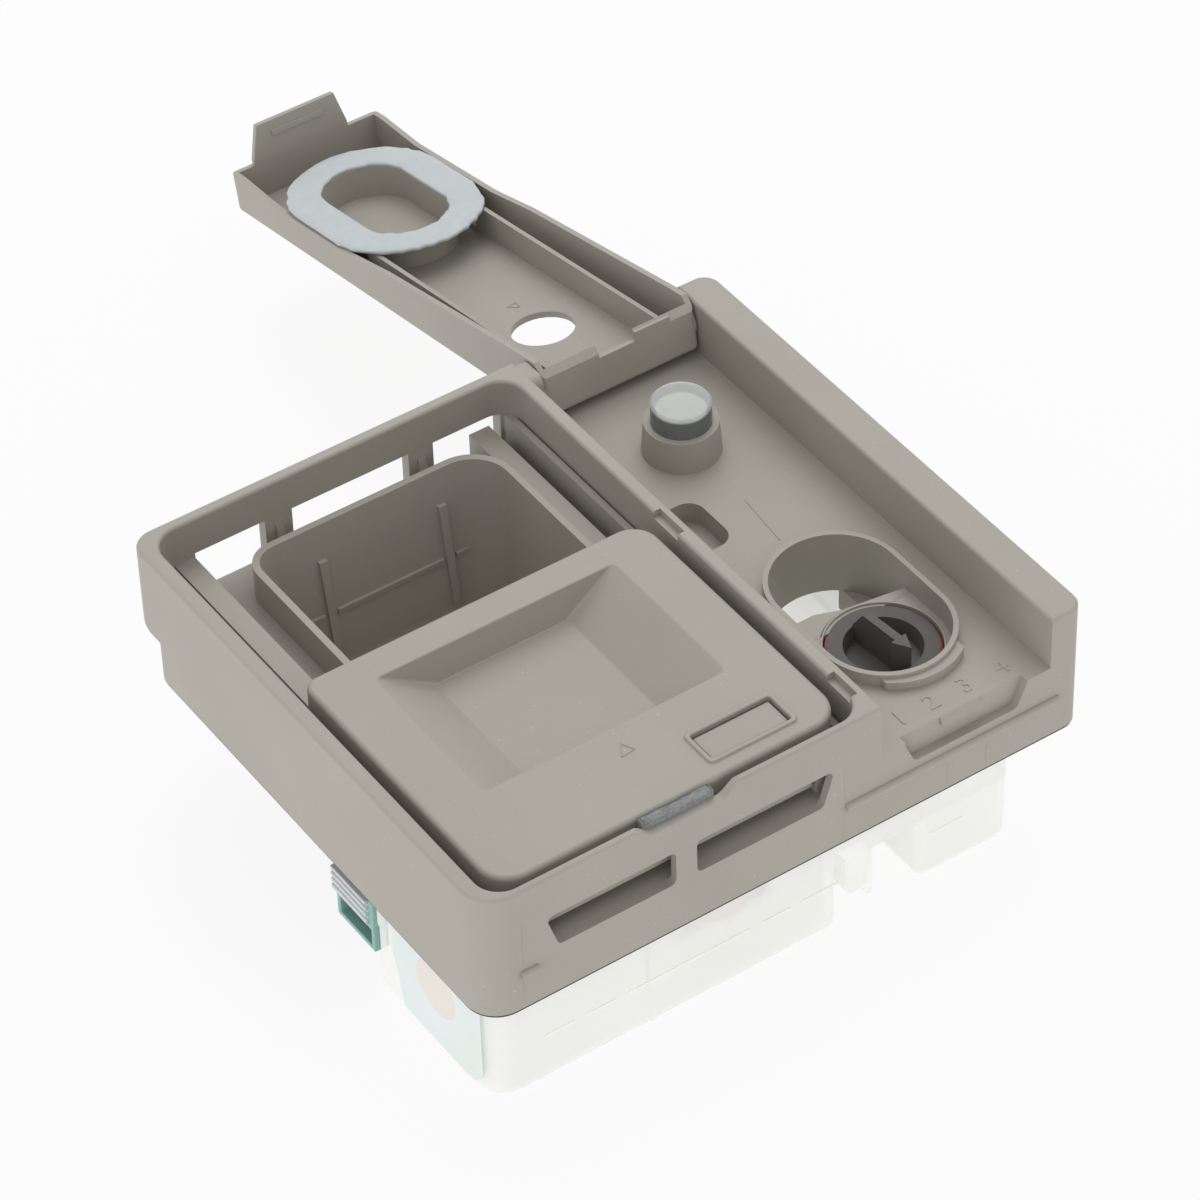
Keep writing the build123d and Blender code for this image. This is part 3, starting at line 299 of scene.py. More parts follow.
class Finish:
    """One procedural material on object coordinates."""

    def __init__(self, name):
        self.material = bpy.data.materials.new(name)
        self.material.use_nodes = True
        self.tree = self.material.node_tree
        self.shader = self.tree.nodes["Principled BSDF"]
        self.place = self.node("ShaderNodeTexCoord").outputs["Object"]

    def node(self, kind, settings=None, **inputs):
        return add_node(self.tree, kind, settings, inputs)

    def axis(self, name):
        """One coordinate of the place, in metres."""
        return Value(self.tree, self.node("ShaderNodeSeparateXYZ", Vector=self.place).outputs[name])

    def noise(self, scale, detail=2.0, stretch=None):
        where = self.place
        if stretch:
            where = self.node("ShaderNodeMapping", Vector=where, Scale=stretch).outputs[0]
        made = self.node("ShaderNodeTexNoise", Vector=where, Scale=scale, Detail=detail)
        return Value(self.tree, made.outputs[0])

    def blend(self, factor, a, b):
        made = self.node("ShaderNodeMix", {"data_type": "RGBA"})
        colours = [slot for slot in made.inputs if slot.type == "RGBA"]
        for slot, value in zip((made.inputs["Factor"], *colours), (factor, a, b)):
            feed(self.tree, slot, value)
        return next(slot for slot in made.outputs if slot.type == "RGBA")

    def bump(self, height, strength, distance):
        """Unevenness of the surface, with its distance in millimetres."""
        made = self.node("ShaderNodeBump", Strength=strength, Distance=distance * MM, Height=height)
        feed(self.tree, self.shader.inputs["Normal"], made.outputs[0])

    def plain(self, **inputs):
        for key, value in inputs.items():
            feed(self.tree, self.shader.inputs[key.replace("_", " ")], value)


def shade(colour, k):
    """The colour made lighter or darker, with full alpha."""
    return (*(min(c * k, 1.0) for c in colour), 1.0)


def moulded_plastic(colour):
    """Satin taupe plastic with a fine spark-eroded grain, faint flow marks and a few dust specks."""
    f = Finish("moulded_plastic")
    cloud = f.noise(28.0, 3.0)
    flow = f.noise(60.0, 4.0, (1.0, 0.35, 1.0))
    specks = f.noise(1100.0, 1.0).above(0.762, 0.02)
    base = f.blend(cloud.above(0.5, 0.5), shade(colour, 0.965), shade(colour, 1.035))
    base = f.blend(specks * 0.28, base, (0.75, 0.73, 0.68, 1.0))
    f.plain(Base_Color=base, Roughness=0.40 + flow * 0.16, Specular_IOR_Level=0.42)
    f.bump(f.noise(3600.0) + flow * 0.25, 0.22, 0.06)
    return f.material


def milky_plastic(colour):
    """Translucent polypropylene: bright, soft, with the inner webs showing faintly through, and a faint
    painted glow that stands in for the light coming through its walls.
    """
    f = Finish("milky_plastic")
    cloud = f.noise(22.0)
    base = f.blend(cloud.above(0.5, 0.6), shade(colour, 0.97), shade(colour, 1.02))
    f.plain(Base_Color=base, Roughness=0.30 + cloud * 0.12, Alpha=0.60, Specular_IOR_Level=0.5)
    # Painted glow: a faint white emission, though the part is no lamp, stands in for light passing through
    # the translucent walls.
    f.plain(Emission_Color=(1.0, 1.0, 0.97, 1.0), Emission_Strength=0.12)
    f.bump(f.noise(1400.0), 0.12, 0.05)
    return f.material


def seal_silicone(colour):
    """Blue-grey silicone, a little uneven and dusty."""
    f = Finish("seal_silicone")
    patches = f.noise(260.0, 4.0)
    base = f.blend(patches.above(0.5, 0.5), shade(colour, 0.955), shade(colour, 1.035))
    f.plain(Base_Color=base, Roughness=0.50 + patches * 0.2, Specular_IOR_Level=0.35)
    f.bump(patches + f.noise(1500.0, 3.0) * 0.6, 0.35, 0.12)
    return f.material


def bumper_silicone(colour):
    """Darker silicone with the open, pitted skin of a part that was cut from a block; the pits' hollows are
    darker in colour, which is painted shade.
    """
    f = Finish("bumper_silicone")
    pits_and_painted_shade = f.noise(1300.0, 4.0)
    patches = f.noise(340.0, 3.0)
    # Painted shade: the noise that sinks the pits also colours their hollows darker than the skin around
    # them.
    base = f.blend(pits_and_painted_shade.above(0.5, 0.4), shade(colour, 0.42), shade(colour, 0.64))
    f.plain(Base_Color=base, Roughness=0.62 + patches * 0.2, Specular_IOR_Level=0.25)
    f.bump(pits_and_painted_shade + patches * 0.6, 0.7, 0.22)
    return f.material


def satin(name, colour, rough=0.4, metallic=0.0, grain=1800.0, strength=0.15, vary=0.06, gloss=0.5):
    """Plain satin finish with a fine grain and a slight change of tone."""
    f = Finish(name)
    tone = f.noise(grain * 0.08, 3.0)
    base = f.blend(tone.above(0.5, 0.5), shade(colour, 1 - vary), shade(colour, 1 + vary))
    f.plain(Base_Color=base, Roughness=rough + tone * 0.12 - 0.06)
    f.plain(Metallic=metallic, Specular_IOR_Level=gloss)
    f.bump(f.noise(grain), strength, 0.05)
    return f.material


def clear_lens():
    """Clear styrene cap: its round wall is painted dark, a painted shade for how the clear wall looks from
    outside, and its top and inside look pale.
    """
    f = Finish("clear_lens")
    low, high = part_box("sight_glass")
    middle = (low + high) / 2
    dx, dy = ((f.axis(axis) - middle[i]) * (1.0 / (LENS_ROUND * MM)) for i, axis in enumerate("XY"))
    # Painted shade: this mask colours the round wall dark where the clear wall would look dark from outside.
    wall = (dx * dx + dy * dy).above(0.90, 0.04)
    wall = wall * (1.0 - f.axis("Z").above(high.z - 1.0 * MM, 0.4 * MM))
    frost = f.noise(700.0)
    pale = f.blend(frost, (0.82, 0.85, 0.82, 1.0), (0.92, 0.94, 0.92, 1.0))
    # Painted shade: the round wall gets a near-black colour here.
    base = f.blend(wall, pale, (0.16, 0.17, 0.165, 1.0))
    f.plain(Base_Color=base, Roughness=0.10 + frost * 0.10, Alpha=0.42 + wall * 0.40, IOR=1.49)
    return f.material


def label_print():
    """Bare printed film: pale green with a beige disc."""
    f = Finish("label_print")
    centre = at(*DISC_PLACE)
    dy = (f.axis("Y") - centre.y) * (1.0 / (DISC_WIDE * MM))
    dz = (f.axis("Z") - centre.z) * (1.0 / (DISC_HIGH * MM))
    disc = 1.0 - (dy * dy + dz * dz).above(1.0, 0.06)
    ground = f.blend(f.noise(60.0).above(0.5, 0.4), (0.76, 0.86, 0.79, 1.0), (0.82, 0.88, 0.89, 1.0))
    f.plain(Base_Color=f.blend(disc, ground, (0.84, 0.78, 0.71, 1.0)), Roughness=0.35)
    f.bump(f.noise(1200.0), 0.08, 0.04)
    return f.material


def winding_copper():
    """Enamelled wire: warm metal with a lacquer coat."""
    f = Finish("winding_copper")
    base = f.blend(f.noise(300.0), (0.55, 0.22, 0.10, 1.0), (0.68, 0.30, 0.14, 1.0))
    f.plain(Base_Color=base, Roughness=0.30, Metallic=1.0, Coat_Weight=0.4)
    return f.material


# Mesh helpers


def clear_slots(obj, material):
    """Gives an object one material and no other."""
    obj.data.materials.clear()
    obj.data.materials.append(material)


def link(name, mesh, material):
    obj = bpy.data.objects.new(name, mesh)
    bpy.context.scene.collection.objects.link(obj)
    clear_slots(obj, material)
    return obj


def evaluated(holder):
    """The mesh that an object has after its modifiers. The object is used up."""
    graph = bpy.context.evaluated_depsgraph_get()
    mesh = bpy.data.meshes.new_from_object(holder.evaluated_get(graph))
    bpy.data.objects.remove(holder)
    return mesh


def carved(mesh, cutter):
    """The mesh less the volume of the cutter, which is used up."""
    holder = link("carving", mesh, None)
    modifier = holder.modifiers.new("carving", "BOOLEAN")
    modifier.operation = "DIFFERENCE"
    modifier.solver = "EXACT"
    modifier.object = cutter
    result = evaluated(holder)
    bpy.data.objects.remove(cutter)
    return result


def opened(node):
    """A copy of a solid's mesh, and the same open for editing, with the points of touching faces joined."""
    mesh = NODES[node].data.copy()
    bm = bmesh.new()
    bm.from_mesh(mesh)
    bmesh.ops.remove_doubles(bm, verts=bm.verts, dist=MERGE * MM)
    return mesh, bm


def closed(bm, mesh):
    """Writes the edited mesh back, smooth and without the normals of the old one."""
    for face in bm.faces:
        face.smooth = True
    bm.to_mesh(mesh)
    bm.free()
    if "custom_normal" in mesh.attributes:
        mesh.attributes.remove(mesh.attributes["custom_normal"])


def dressed(node, material, edge, crisp=CRISP, cutter=None, flat=False):
    """A merged copy of a solid, in its place, whose sharp edges are rounded.

    Edges are sharp that turn more than crisp degrees. With flat, each flat side becomes one face first, which
    leaves room for wider rounded edges.
    """
    mesh, bm = opened(node)
    if cutter:
        bm.to_mesh(mesh)
        mesh = carved(mesh, cutter)
        bm.clear()
        bm.from_mesh(mesh)
    mesh.name = node + "_dressed"
    if flat:
        bmesh.ops.dissolve_limit(bm, angle_limit=math.radians(FLAT), verts=bm.verts, edges=bm.edges)
    limit = math.radians(crisp)
    for e in bm.edges:
        e.smooth = len(e.link_faces) == 2 and e.calc_face_angle(0.0) < limit
    closed(bm, mesh)
    piece = link(node + "_dressed", mesh, material)
    if edge > 0:
        bevel = piece.modifiers.new("edges", "BEVEL")
        bevel.width = edge
        bevel.segments = 2
        bevel.limit_method = "ANGLE"
        bevel.angle_limit = limit
        bevel.use_clamp_overlap = not flat
        bevel.harden_normals = False
        bevel.miter_outer = "MITER_ARC"
    normals = piece.modifiers.new("normals", "WEIGHTED_NORMAL")
    normals.keep_sharp = True
    body = NODES[node]["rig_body"]
    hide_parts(node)
    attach(piece, body)
    return piece


def sheet_mesh(name, rings, material, loop=False):
    """A skin through rings of points that all have the same count, closed at both ends or into a loop."""
    bm = bmesh.new()
    rows = [[bm.verts.new(p) for p in ring] for ring in rings]
    for a, b in zip(rows, rows[1:] + rows[:1] if loop else rows[1:]):
        for i in range(len(a)):
            j = (i + 1) % len(a)
            bm.faces.new((a[i], a[j], b[j], b[i]))
    if not loop:
        bm.faces.new(list(reversed(rows[0])))
        bm.faces.new(rows[-1])
    bmesh.ops.recalc_face_normals(bm, faces=bm.faces)
    mesh = bpy.data.meshes.new(name)
    bm.to_mesh(mesh)
    bm.free()
    mesh.shade_smooth()
    return link(name, mesh, material)


def upright(name, outline, low, high, material):
    """A flat outline of (x, y) points, raised between two heights."""
    return sheet_mesh(name, [[at(x, y, z) for x, y in outline] for z in (low, high)], material)


def arc(x, y, r, start, end, steps):
    """Points on a circle's arc, with the angles in radians."""
    turns = [start + (end - start) * k / steps for k in range(steps + 1)]
    return [(x + r * math.cos(a), y + r * math.sin(a)) for a in turns]


def skin_of(node):
    """A tree for finding where a line meets a solid."""
    mesh = NODES[node].data
    return BVHTree.FromPolygons([v.co for v in mesh.vertices], [p.vertices for p in mesh.polygons])


def meet(tree, start, way):
    """The first point of a solid from start along way."""
    hit = tree.ray_cast(start, way)[0]
    if hit is None:
        raise RuntimeError(f"nothing of the solid lies from {start} along {way}")
    return hit


def traced(tree, start, end, way, steps):
    """Points of a solid that are met along way from a straight line."""
    return [meet(tree, start.lerp(end, k / steps), way) for k in range(steps + 1)]


def ridge(name, line, up, width, height, material):
    """A low rib with sloped sides along a line of points that lie on a surface."""
    rings = []
    for i, p in enumerate(line):
        before = line[max(i - 1, 0)]
        after = line[min(i + 1, len(line) - 1)]
        side = up.cross(after - before).normalized()
        low = p - up * 0.05 * MM
        top = p + up * height
        foot, crest = side * width * 0.5, side * width * 0.24
        rings.append([low - foot, top - crest, top + crest, low + foot])
    piece = sheet_mesh(name, rings, material)
    piece.data.shade_flat()
    return piece


def joined(name, pieces, material):
    """One mesh of several, in one object."""
    bm = bmesh.new()
    for piece in pieces:
        bm.from_mesh(piece.data)
    mesh = bpy.data.meshes.new(name)
    bm.to_mesh(mesh)
    bm.free()
    for piece in pieces:
        bpy.data.objects.remove(piece)
    return link(name, mesh, material)


def triangle(name, tree, corners, up, width, height, steps, material):
    """A triangle of low ribs on a solid, under three points above it."""
    sides = []
    for k in range(3):
        line = traced(tree, corners[k], corners[(k + 1) % 3], -up, steps)
        sides.append(ridge("side", line, up, width, height, material))
    return joined(name, sides, material)


def raised_text(text, place, height, relief, material):
    """A flat sign of the built-in font, raised from a level surface."""
    curve = bpy.data.curves.new("sign_" + text, "FONT")
    curve.body = text
    curve.size = 1.0
    curve.extrude = 0.5
    curve.align_x = "CENTER"
    curve.align_y = "CENTER"
    curve.resolution_u = 5
    holder = bpy.data.objects.new("sign_" + text, curve)
    bpy.context.scene.collection.objects.link(holder)
    mesh = evaluated(holder)
    size = height / max(v.co.y for v in mesh.vertices) / 2
    mesh.transform(Matrix.Translation(place) @ Matrix.Diagonal((size, size, relief, 1.0)))
    return link("sign_" + text, mesh, material)


class Tree:
    """A Geometry Nodes tree with named sizes."""

    def __init__(self, name, sizes):
        self.group = bpy.data.node_groups.new(name, "GeometryNodeTree")
        face = self.group.interface
        face.new_socket("Geometry", in_out="INPUT", socket_type="NodeSocketGeometry")
        self.ids = {
            label: face.new_socket(label, in_out="INPUT", socket_type="NodeSocketFloat").identifier
            for label in sizes
        }
        face.new_socket("Geometry", in_out="OUTPUT", socket_type="NodeSocketGeometry")
        self.given = self.group.nodes.new("NodeGroupInput").outputs
        self.result = self.group.nodes.new("NodeGroupOutput").inputs[0]

    def node(self, kind, settings=None, **inputs):
        return add_node(self.group, kind, settings, inputs).outputs[0]

    def end(self, geometry, material):
        real = self.node("GeometryNodeRealizeInstances", Geometry=geometry)
        painted = self.node("GeometryNodeSetMaterial", Geometry=real, Material=material)
        feed(self.group, self.result, painted)

    def made(self, name, source, values, material):
        """The tree's result on a source mesh, as a plain mesh."""
        holder = link(name + "_tree", source, material)
        modifier = holder.modifiers.new("nodes", "NODES")
        modifier.node_group = self.group
        for label, value in values.items():
            modifier[self.ids[label]] = value
        bpy.context.view_layer.update()
        return link(name, evaluated(holder), material)


def wound(name, node, inset, wire, turns, material):
    """A wire winding that fills the height of a solid and stays the inset inside its width."""
    low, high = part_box(node)
    middle = (low + high) / 2
    radius = (high.x - low.x) / 2 - inset - wire / 2
    tree = Tree("wound_wire", ("Turns", "Radius", "Rise", "Wire"))
    given = tree.given
    line = tree.node(
        "GeometryNodeCurveSpiral", Resolution=28, Rotations=given["Turns"], Start_Radius=given["Radius"],
        End_Radius=given["Radius"], Height=given["Rise"],
    )
    circle = "GeometryNodeCurvePrimitiveCircle"
    ring = tree.node(circle, {"mode": "RADIUS"}, Resolution=8, Radius=given["Wire"])
    skin = tree.node("GeometryNodeCurveToMesh", Curve=line, Profile_Curve=ring, Fill_Caps=True)
    tree.end(tree.node("GeometryNodeSetShadeSmooth", Geometry=skin, Shade_Smooth=True), material)
    values = {"Turns": turns, "Radius": radius, "Rise": high.z - low.z - wire, "Wire": wire / 2}
    piece = tree.made(name, bpy.data.meshes.new(name + "_start"), values, material)
    piece.data.transform(Matrix.Translation((middle.x, middle.y, low.z + wire / 2)))
    return piece


def carry(piece, node):
    """Lets an added piece ride on the body of a solid."""
    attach(piece, NODES[node]["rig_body"])
    return piece


# Pieces


class DISPENSER_OT_front(bpy.types.Operator):
    """Front moulding with its parting lines, its digits and the mark on the rinse floor"""

    bl_idname = "dispenser.front"
    bl_label = "Front moulding"

    def execute(self, context):
        sizes, colours = context.scene.dispenser_sizes, context.scene.dispenser_colours
        plastic = moulded_plastic(colours.plastic)
        dressed("front_moulding", plastic, sizes.edge_round, cutter=moulding_cuts())
        carry(platform_edge(plastic), "front_moulding")
        tree = skin_of("front_moulding")
        lines = []
        for x, top, bottom in PARTING_LINES:
            line = traced(tree, at(x, BEFORE, top), at(x, BEFORE, bottom), BACK, 6)
            lines.append(ridge("line", line, -BACK, PARTING_WIDTH * MM, PARTING_HEIGHT * MM, plastic))
        line = traced(tree, *(at(x, y, 0) for x, y in FLOOR_MARK), DOWN, 4)
        lines.append(ridge("line", line, UP, 0.5 * MM, sizes.mark_relief * 0.6, plastic))
        carry(joined("parting_lines", lines, plastic), "front_moulding")
        digits = []
        for text, x in DIGITS:
            place = meet(tree, at(x, DIGIT_ROW, 2), DOWN) + UP * sizes.mark_relief * 0.3
            digits.append(raised_text(text, place, sizes.digit_height, sizes.mark_relief * 0.9, plastic))
        carry(joined("dial_digits", digits, plastic), "front_moulding")
        return {"FINISHED"}


def moulding_cuts():
    """What is cut from the front moulding: the well's outlet, and the point at the flange's front corner."""
    return joined("moulding_cuts", [well_opening(), corner_trim()], None)


def corner_trim():
    """All that lies outside the round front left corner, at the flange's height."""
    r = CORNER_ROUND
    outline = [(-1, r), (-1, -1), (r, -1), *arc(r, r, r + CORNER_GAP, -math.pi / 2, -math.pi, 16)]
    return upright("corner_trim", outline, FLANGE_LOW, FLANGE_HIGH, None)


def well_opening():
    """The well's outlet as it is seen: open to the round wall at the back and the left."""
    start = math.acos((OUTLET_RIGHT - WELL_X) / WELL_ROUND)
    outline = arc(WELL_X, WELL_Y, WELL_ROUND, start, math.pi, 24)
    outline += [(WELL_X - WELL_ROUND, OUTLET_FRONT), (OUTLET_RIGHT, OUTLET_FRONT)]
    return upright("well_opening", outline, FLANGE_LOW, OUTLET_TOP, None)


def platform_edge(material):
    """Back edge of the dial's platform, which runs a little further back on the left."""
    piece = upright("platform_edge", PLATFORM, PLATFORM_LOW, PLATFORM_HIGH, material)
    piece.data.shade_flat()
    return piece


class DISPENSER_OT_door(bpy.types.Operator):
    """Sliding door with its pointer mark, button, seal and the silicone bumper that it meets"""

    bl_idname = "dispenser.door"
    bl_label = "Sliding door"

    def execute(self, context):
        sizes, colours = context.scene.dispenser_sizes, context.scene.dispenser_colours
        plastic = bpy.data.materials["moulded_plastic"]
        # The door's dish has shallow edges, so they stay sharp from 20 degrees on.
        dressed("sliding_door", plastic, sizes.edge_round * 1.3, 20, flat=True)
        dressed("latch_button", plastic, sizes.edge_round)
        tree = skin_of("sliding_door")
        corners = [at(x, y, ABOVE_RIM) for x, y in DOOR_MARK]
        mark = triangle("pointer_mark", tree, corners, UP, 0.42 * MM, sizes.mark_relief * 0.7, 3, plastic)
        carry(mark, "sliding_door")
        silicone = seal_silicone(colours.silicone)
        clear_slots(NODES["door_seal"], silicone)
        rough_bumper(bumper_silicone(colours.bumper))
        return {"FINISHED"}


def rough_bumper(material):
    """The bumper with the uneven skin that squeezed silicone has."""
    mesh, bm = opened("front_bumper")
    for _ in range(3):
        long_edges = [e for e in bm.edges if e.calc_length() > 0.7 * MM]
        if long_edges:
            bmesh.ops.subdivide_edges(bm, edges=long_edges, cuts=1, use_grid_fill=True)
    bmesh.ops.triangulate(bm, faces=bm.faces)
    low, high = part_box("front_bumper")
    dice = random.Random(11)
    top = high.z - 0.9 * MM
    margin = 0.3 * MM
    for v in bm.verts:
        if v.co.z > top and low.x + margin < v.co.x < high.x - margin:
            v.co.z -= dice.uniform(0.3, 0.75) * MM
            v.co.y += dice.uniform(-0.12, 0.12) * MM
    closed(bm, mesh)
    piece = link("bumper_rough", mesh, material)
    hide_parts("front_bumper")
    return carry(piece, "front_bumper")


class DISPENSER_OT_flap(bpy.types.Operator):
    """Rinse flap with its seal ring and the small mark on its floor"""

    bl_idname = "dispenser.flap"
    bl_label = "Rinse flap"

    def execute(self, context):
        sizes = context.scene.dispenser_sizes
        plastic = bpy.data.materials["moulded_plastic"]
        silicone = bpy.data.materials["seal_silicone"]
        dressed("rinse_flap", plastic, sizes.edge_round)
        flap_ring(silicone, sizes.seal_wave)
        tree = skin_of("rinse_flap")
        up = (on_flap(0, 0, 1) - on_flap(0, 0, 0)).normalized()
        corners = [on_flap(x, s, ABOVE_FLAP) for x, s in FLAP_MARK]
        mark = triangle("flap_mark", tree, corners, up, 0.5 * MM, sizes.mark_relief * 0.7, 2, plastic)
        carry(mark, "rinse_flap")
        return {"FINISHED"}


def flap_ring(material, wave):
    """The flap's seal: a flat ring whose hand-cut edges wander a little."""
    c, n = math.cos(FLAP_DROP), math.sin(FLAP_DROP)
    spots = []
    for v in NODES["flap_seal"].data.vertices:
        away = v.co / MM - HINGE
        spots.append((v.co.x / MM - SHIFT.x, away.y * c - away.z * n, away.y * n + away.z * c))
    left, back, low = (min(p[i] for p in spots) for i in range(3))
    right, front, high = (max(p[i] for p in spots) for i in range(3))
    middle_x, outer = (left + right) / 2, (right - left) / 2
    near, far = back + outer, front - outer
    inner = min(math.hypot(x - middle_x, s - min(max(s, near), far)) for x, s, h in spots)
    steps, waves = 220, 34
    dice = random.Random(5)
    knots = [[dice.uniform(-1, 1) for _ in range(waves)] for _ in range(3)]

    def wander(row, k):
        t = k / steps * waves
        i, f = int(t), t - int(t)
        f = f * f * (3 - 2 * f)
        return knots[row][i % waves] * (1 - f) + knots[row][(i + 1) % waves] * f

    def spot(radius, k):
        a = 2 * math.pi * k / steps
        s = far if math.sin(a) >= 0 else near
        return middle_x + radius * math.cos(a), s + radius * math.sin(a)

    w = wave / MM
    rings = []
    for k in range(steps):
        face = high + 0.12 * wander(2, k)
        a = inner + max(wander(0, k), -0.6) * w * 0.7
        b = outer - abs(wander(1, k)) * w * 1.5
        rise = [(a, low), (a, high - 0.45), (a + 0.3, face - 0.2), (a + 2.4, face - 0.12)]
        fall = [(b - 2.4, face - 0.12), (b - 0.3, face - 0.2), (b, high - 0.5), (b, low)]
        profile = rise + [((a + b) / 2, face - 0.12)] + fall
        rings.append([on_flap(*spot(r, k), h) for r, h in profile])
    piece = sheet_mesh("flap_ring", rings, material, loop=True)
    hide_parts("flap_seal")
    return carry(piece, "flap_seal")


class DISPENSER_OT_dial(bpy.types.Operator):
    """Dose dial, its rubber ring and the sight glass"""

    bl_idname = "dispenser.dial"
    bl_label = "Dose dial and sight glass"

    def execute(self, context):
        sizes, colours = context.scene.dispenser_sizes, context.scene.dispenser_colours
        finish = {"rough": 0.46, "grain": 2400.0, "strength": 0.12, "vary": 0.08, "gloss": 0.2}
        grey = satin("dial_plastic", colours.dial, **finish)
        dressed("dose_dial", grey, sizes.edge_round * 1.8)
        ring = satin("ring_rubber", colours.ring, rough=0.5, grain=1500.0, strength=0.2, vary=0.12)
        dressed("dial_o_ring", ring, 0)
        dressed("sight_glass", clear_lens(), sizes.edge_round * 0.6)
        return {"FINISHED"}


class DISPENSER_OT_housing(bpy.types.Operator):
    """Milky rear housing and tank with the seam's short ribs, label film, gasket, plug socket and clip"""

    bl_idname = "dispenser.housing"
    bl_label = "Rear housing"

    def execute(self, context):
        sizes, colours = context.scene.dispenser_sizes, context.scene.dispenser_colours
        milky = milky_plastic(colours.milky)
        dressed("rear_housing", milky, sizes.edge_round)
        dressed("rinse_tank", milky, sizes.edge_round)
        carry(seam_dashes(milky, sizes.dash_height), "rear_housing")
        carry(label_film(label_print()), "rear_housing")
        black = (0.045, 0.045, 0.045)
        rubber = satin("gasket_rubber", black, rough=0.6, grain=1200.0, strength=0.3, vary=0.15)
        clear_slots(NODES["flange_gasket"], rubber)
        clear_slots(NODES["valve_washer"], rubber)
        socket = satin("socket_plastic", colours.socket, rough=0.38, vary=0.05)
        dressed("connector_shell", socket, sizes.edge_round)
        pale = satin("clip_plastic", (0.62, 0.66, 0.67), rough=0.45, vary=0.04)
        dressed("wire_clip", pale, sizes.edge_round)
        return {"FINISHED"}


def seam_dashes(material, height):
    """Short ribs along the seam where the housing's lower half is welded on."""
    tree = Tree("seam_ribs", ("Height", "Depth"))
    size = tree.node("ShaderNodeCombineXYZ", X=1.0, Y=tree.given["Depth"], Z=tree.given["Height"])
    bar = tree.node("GeometryNodeMeshCube", Size=size)
    reach = tree.node("GeometryNodeInputNamedAttribute", {"data_type": "FLOAT"}, Name="length")
    stretch = tree.node("ShaderNodeCombineXYZ", X=reach, Y=1.0, Z=1.0)
    points = tree.given["Geometry"]
    copies = tree.node("GeometryNodeInstanceOnPoints", Points=points, Instance=bar, Scale=stretch)
    tree.end(copies, material)
    housing, tank = skin_of("rear_housing"), skin_of("rinse_tank")
    middles = []
    for a, b in SEAM_RIBS:
        skin = tank if a > TANK_LEFT else housing
        middles.append(meet(skin, at((a + b) / 2, BEFORE, SEAM_Z), BACK))
    start = bpy.data.meshes.new("seam_points")
    start.from_pydata(middles, [], [])
    lengths = start.attributes.new("length", "FLOAT", "POINT")
    for i, (a, b) in enumerate(SEAM_RIBS):
        lengths.data[i].value = (b - a) * MM
    return tree.made("seam_dashes", start, {"Height": height, "Depth": SEAM_DEPTH * MM}, material)


def label_film(material):
    """Thin printed film on the housing's left wall, cut round at its lower front corner."""
    outline = arc(LABEL_CORNER_Y, LABEL_CORNER_Z, LABEL_ROUND, math.pi, math.pi * 1.5, 8) + list(LABEL)
    wall = meet(skin_of("rear_housing"), at(BEFORE, 30, -50), RIGHT).x
    rings = []
    for x in (wall - LABEL_OUT * MM, wall + LABEL_IN * MM):
        spots = [at(0, y, z) for y, z in outline]
        rings.append([Vector((x, spot.y, spot.z)) for spot in spots])
    piece = sheet_mesh("label_film", rings, material)
    piece.data.shade_flat()
    return piece


class DISPENSER_OT_works(bpy.types.Operator):
    """Coil, plunger, lever, valve, springs, terminals and screws"""

    bl_idname = "dispenser.works"
    bl_label = "Hidden works"

    def execute(self, context):
        sizes = context.scene.dispenser_sizes
        grey = (0.62, 0.62, 0.60)
        zinc = satin("zinc_steel", grey, rough=0.34, metallic=1.0, grain=900.0, strength=0.1, vary=0.07)
        for node in ("housing_screws", "solenoid_frame", "plunger", "lever_pivot_pin"):
            clear_slots(NODES[node], zinc)
        brass = satin("terminal_brass", (0.78, 0.60, 0.28), rough=0.3, metallic=1.0, grain=1100.0, vary=0.06)
        clear_slots(NODES["connector_terminals"], brass)
        white = satin("bobbin_nylon", (0.80, 0.79, 0.75), rough=0.45, vary=0.03)
        for node in ("solenoid_bobbin", "release_lever", "metering_valve"):
            clear_slots(NODES[node], white)
        copper = winding_copper()
        clear_slots(NODES["coil_winding"], copper)
        wire = sizes.winding_wire
        low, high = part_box("coil_winding")
        turns = (high.z - low.z - wire) / wire
        carry(wound("coil_wire", "coil_winding", -wire * 0.3, wire, turns, copper), "coil_winding")
        for node, joint, foot, travel in SPRINGS:
            spring = wound(node + "_wire", node, 0, SPRING_WIRE * MM, SPRING_TURNS, zinc)
            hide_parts(node)
            carry(spring, node)
            low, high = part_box(node)
            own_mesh(spring)
        return {"FINISHED"}


# Stage


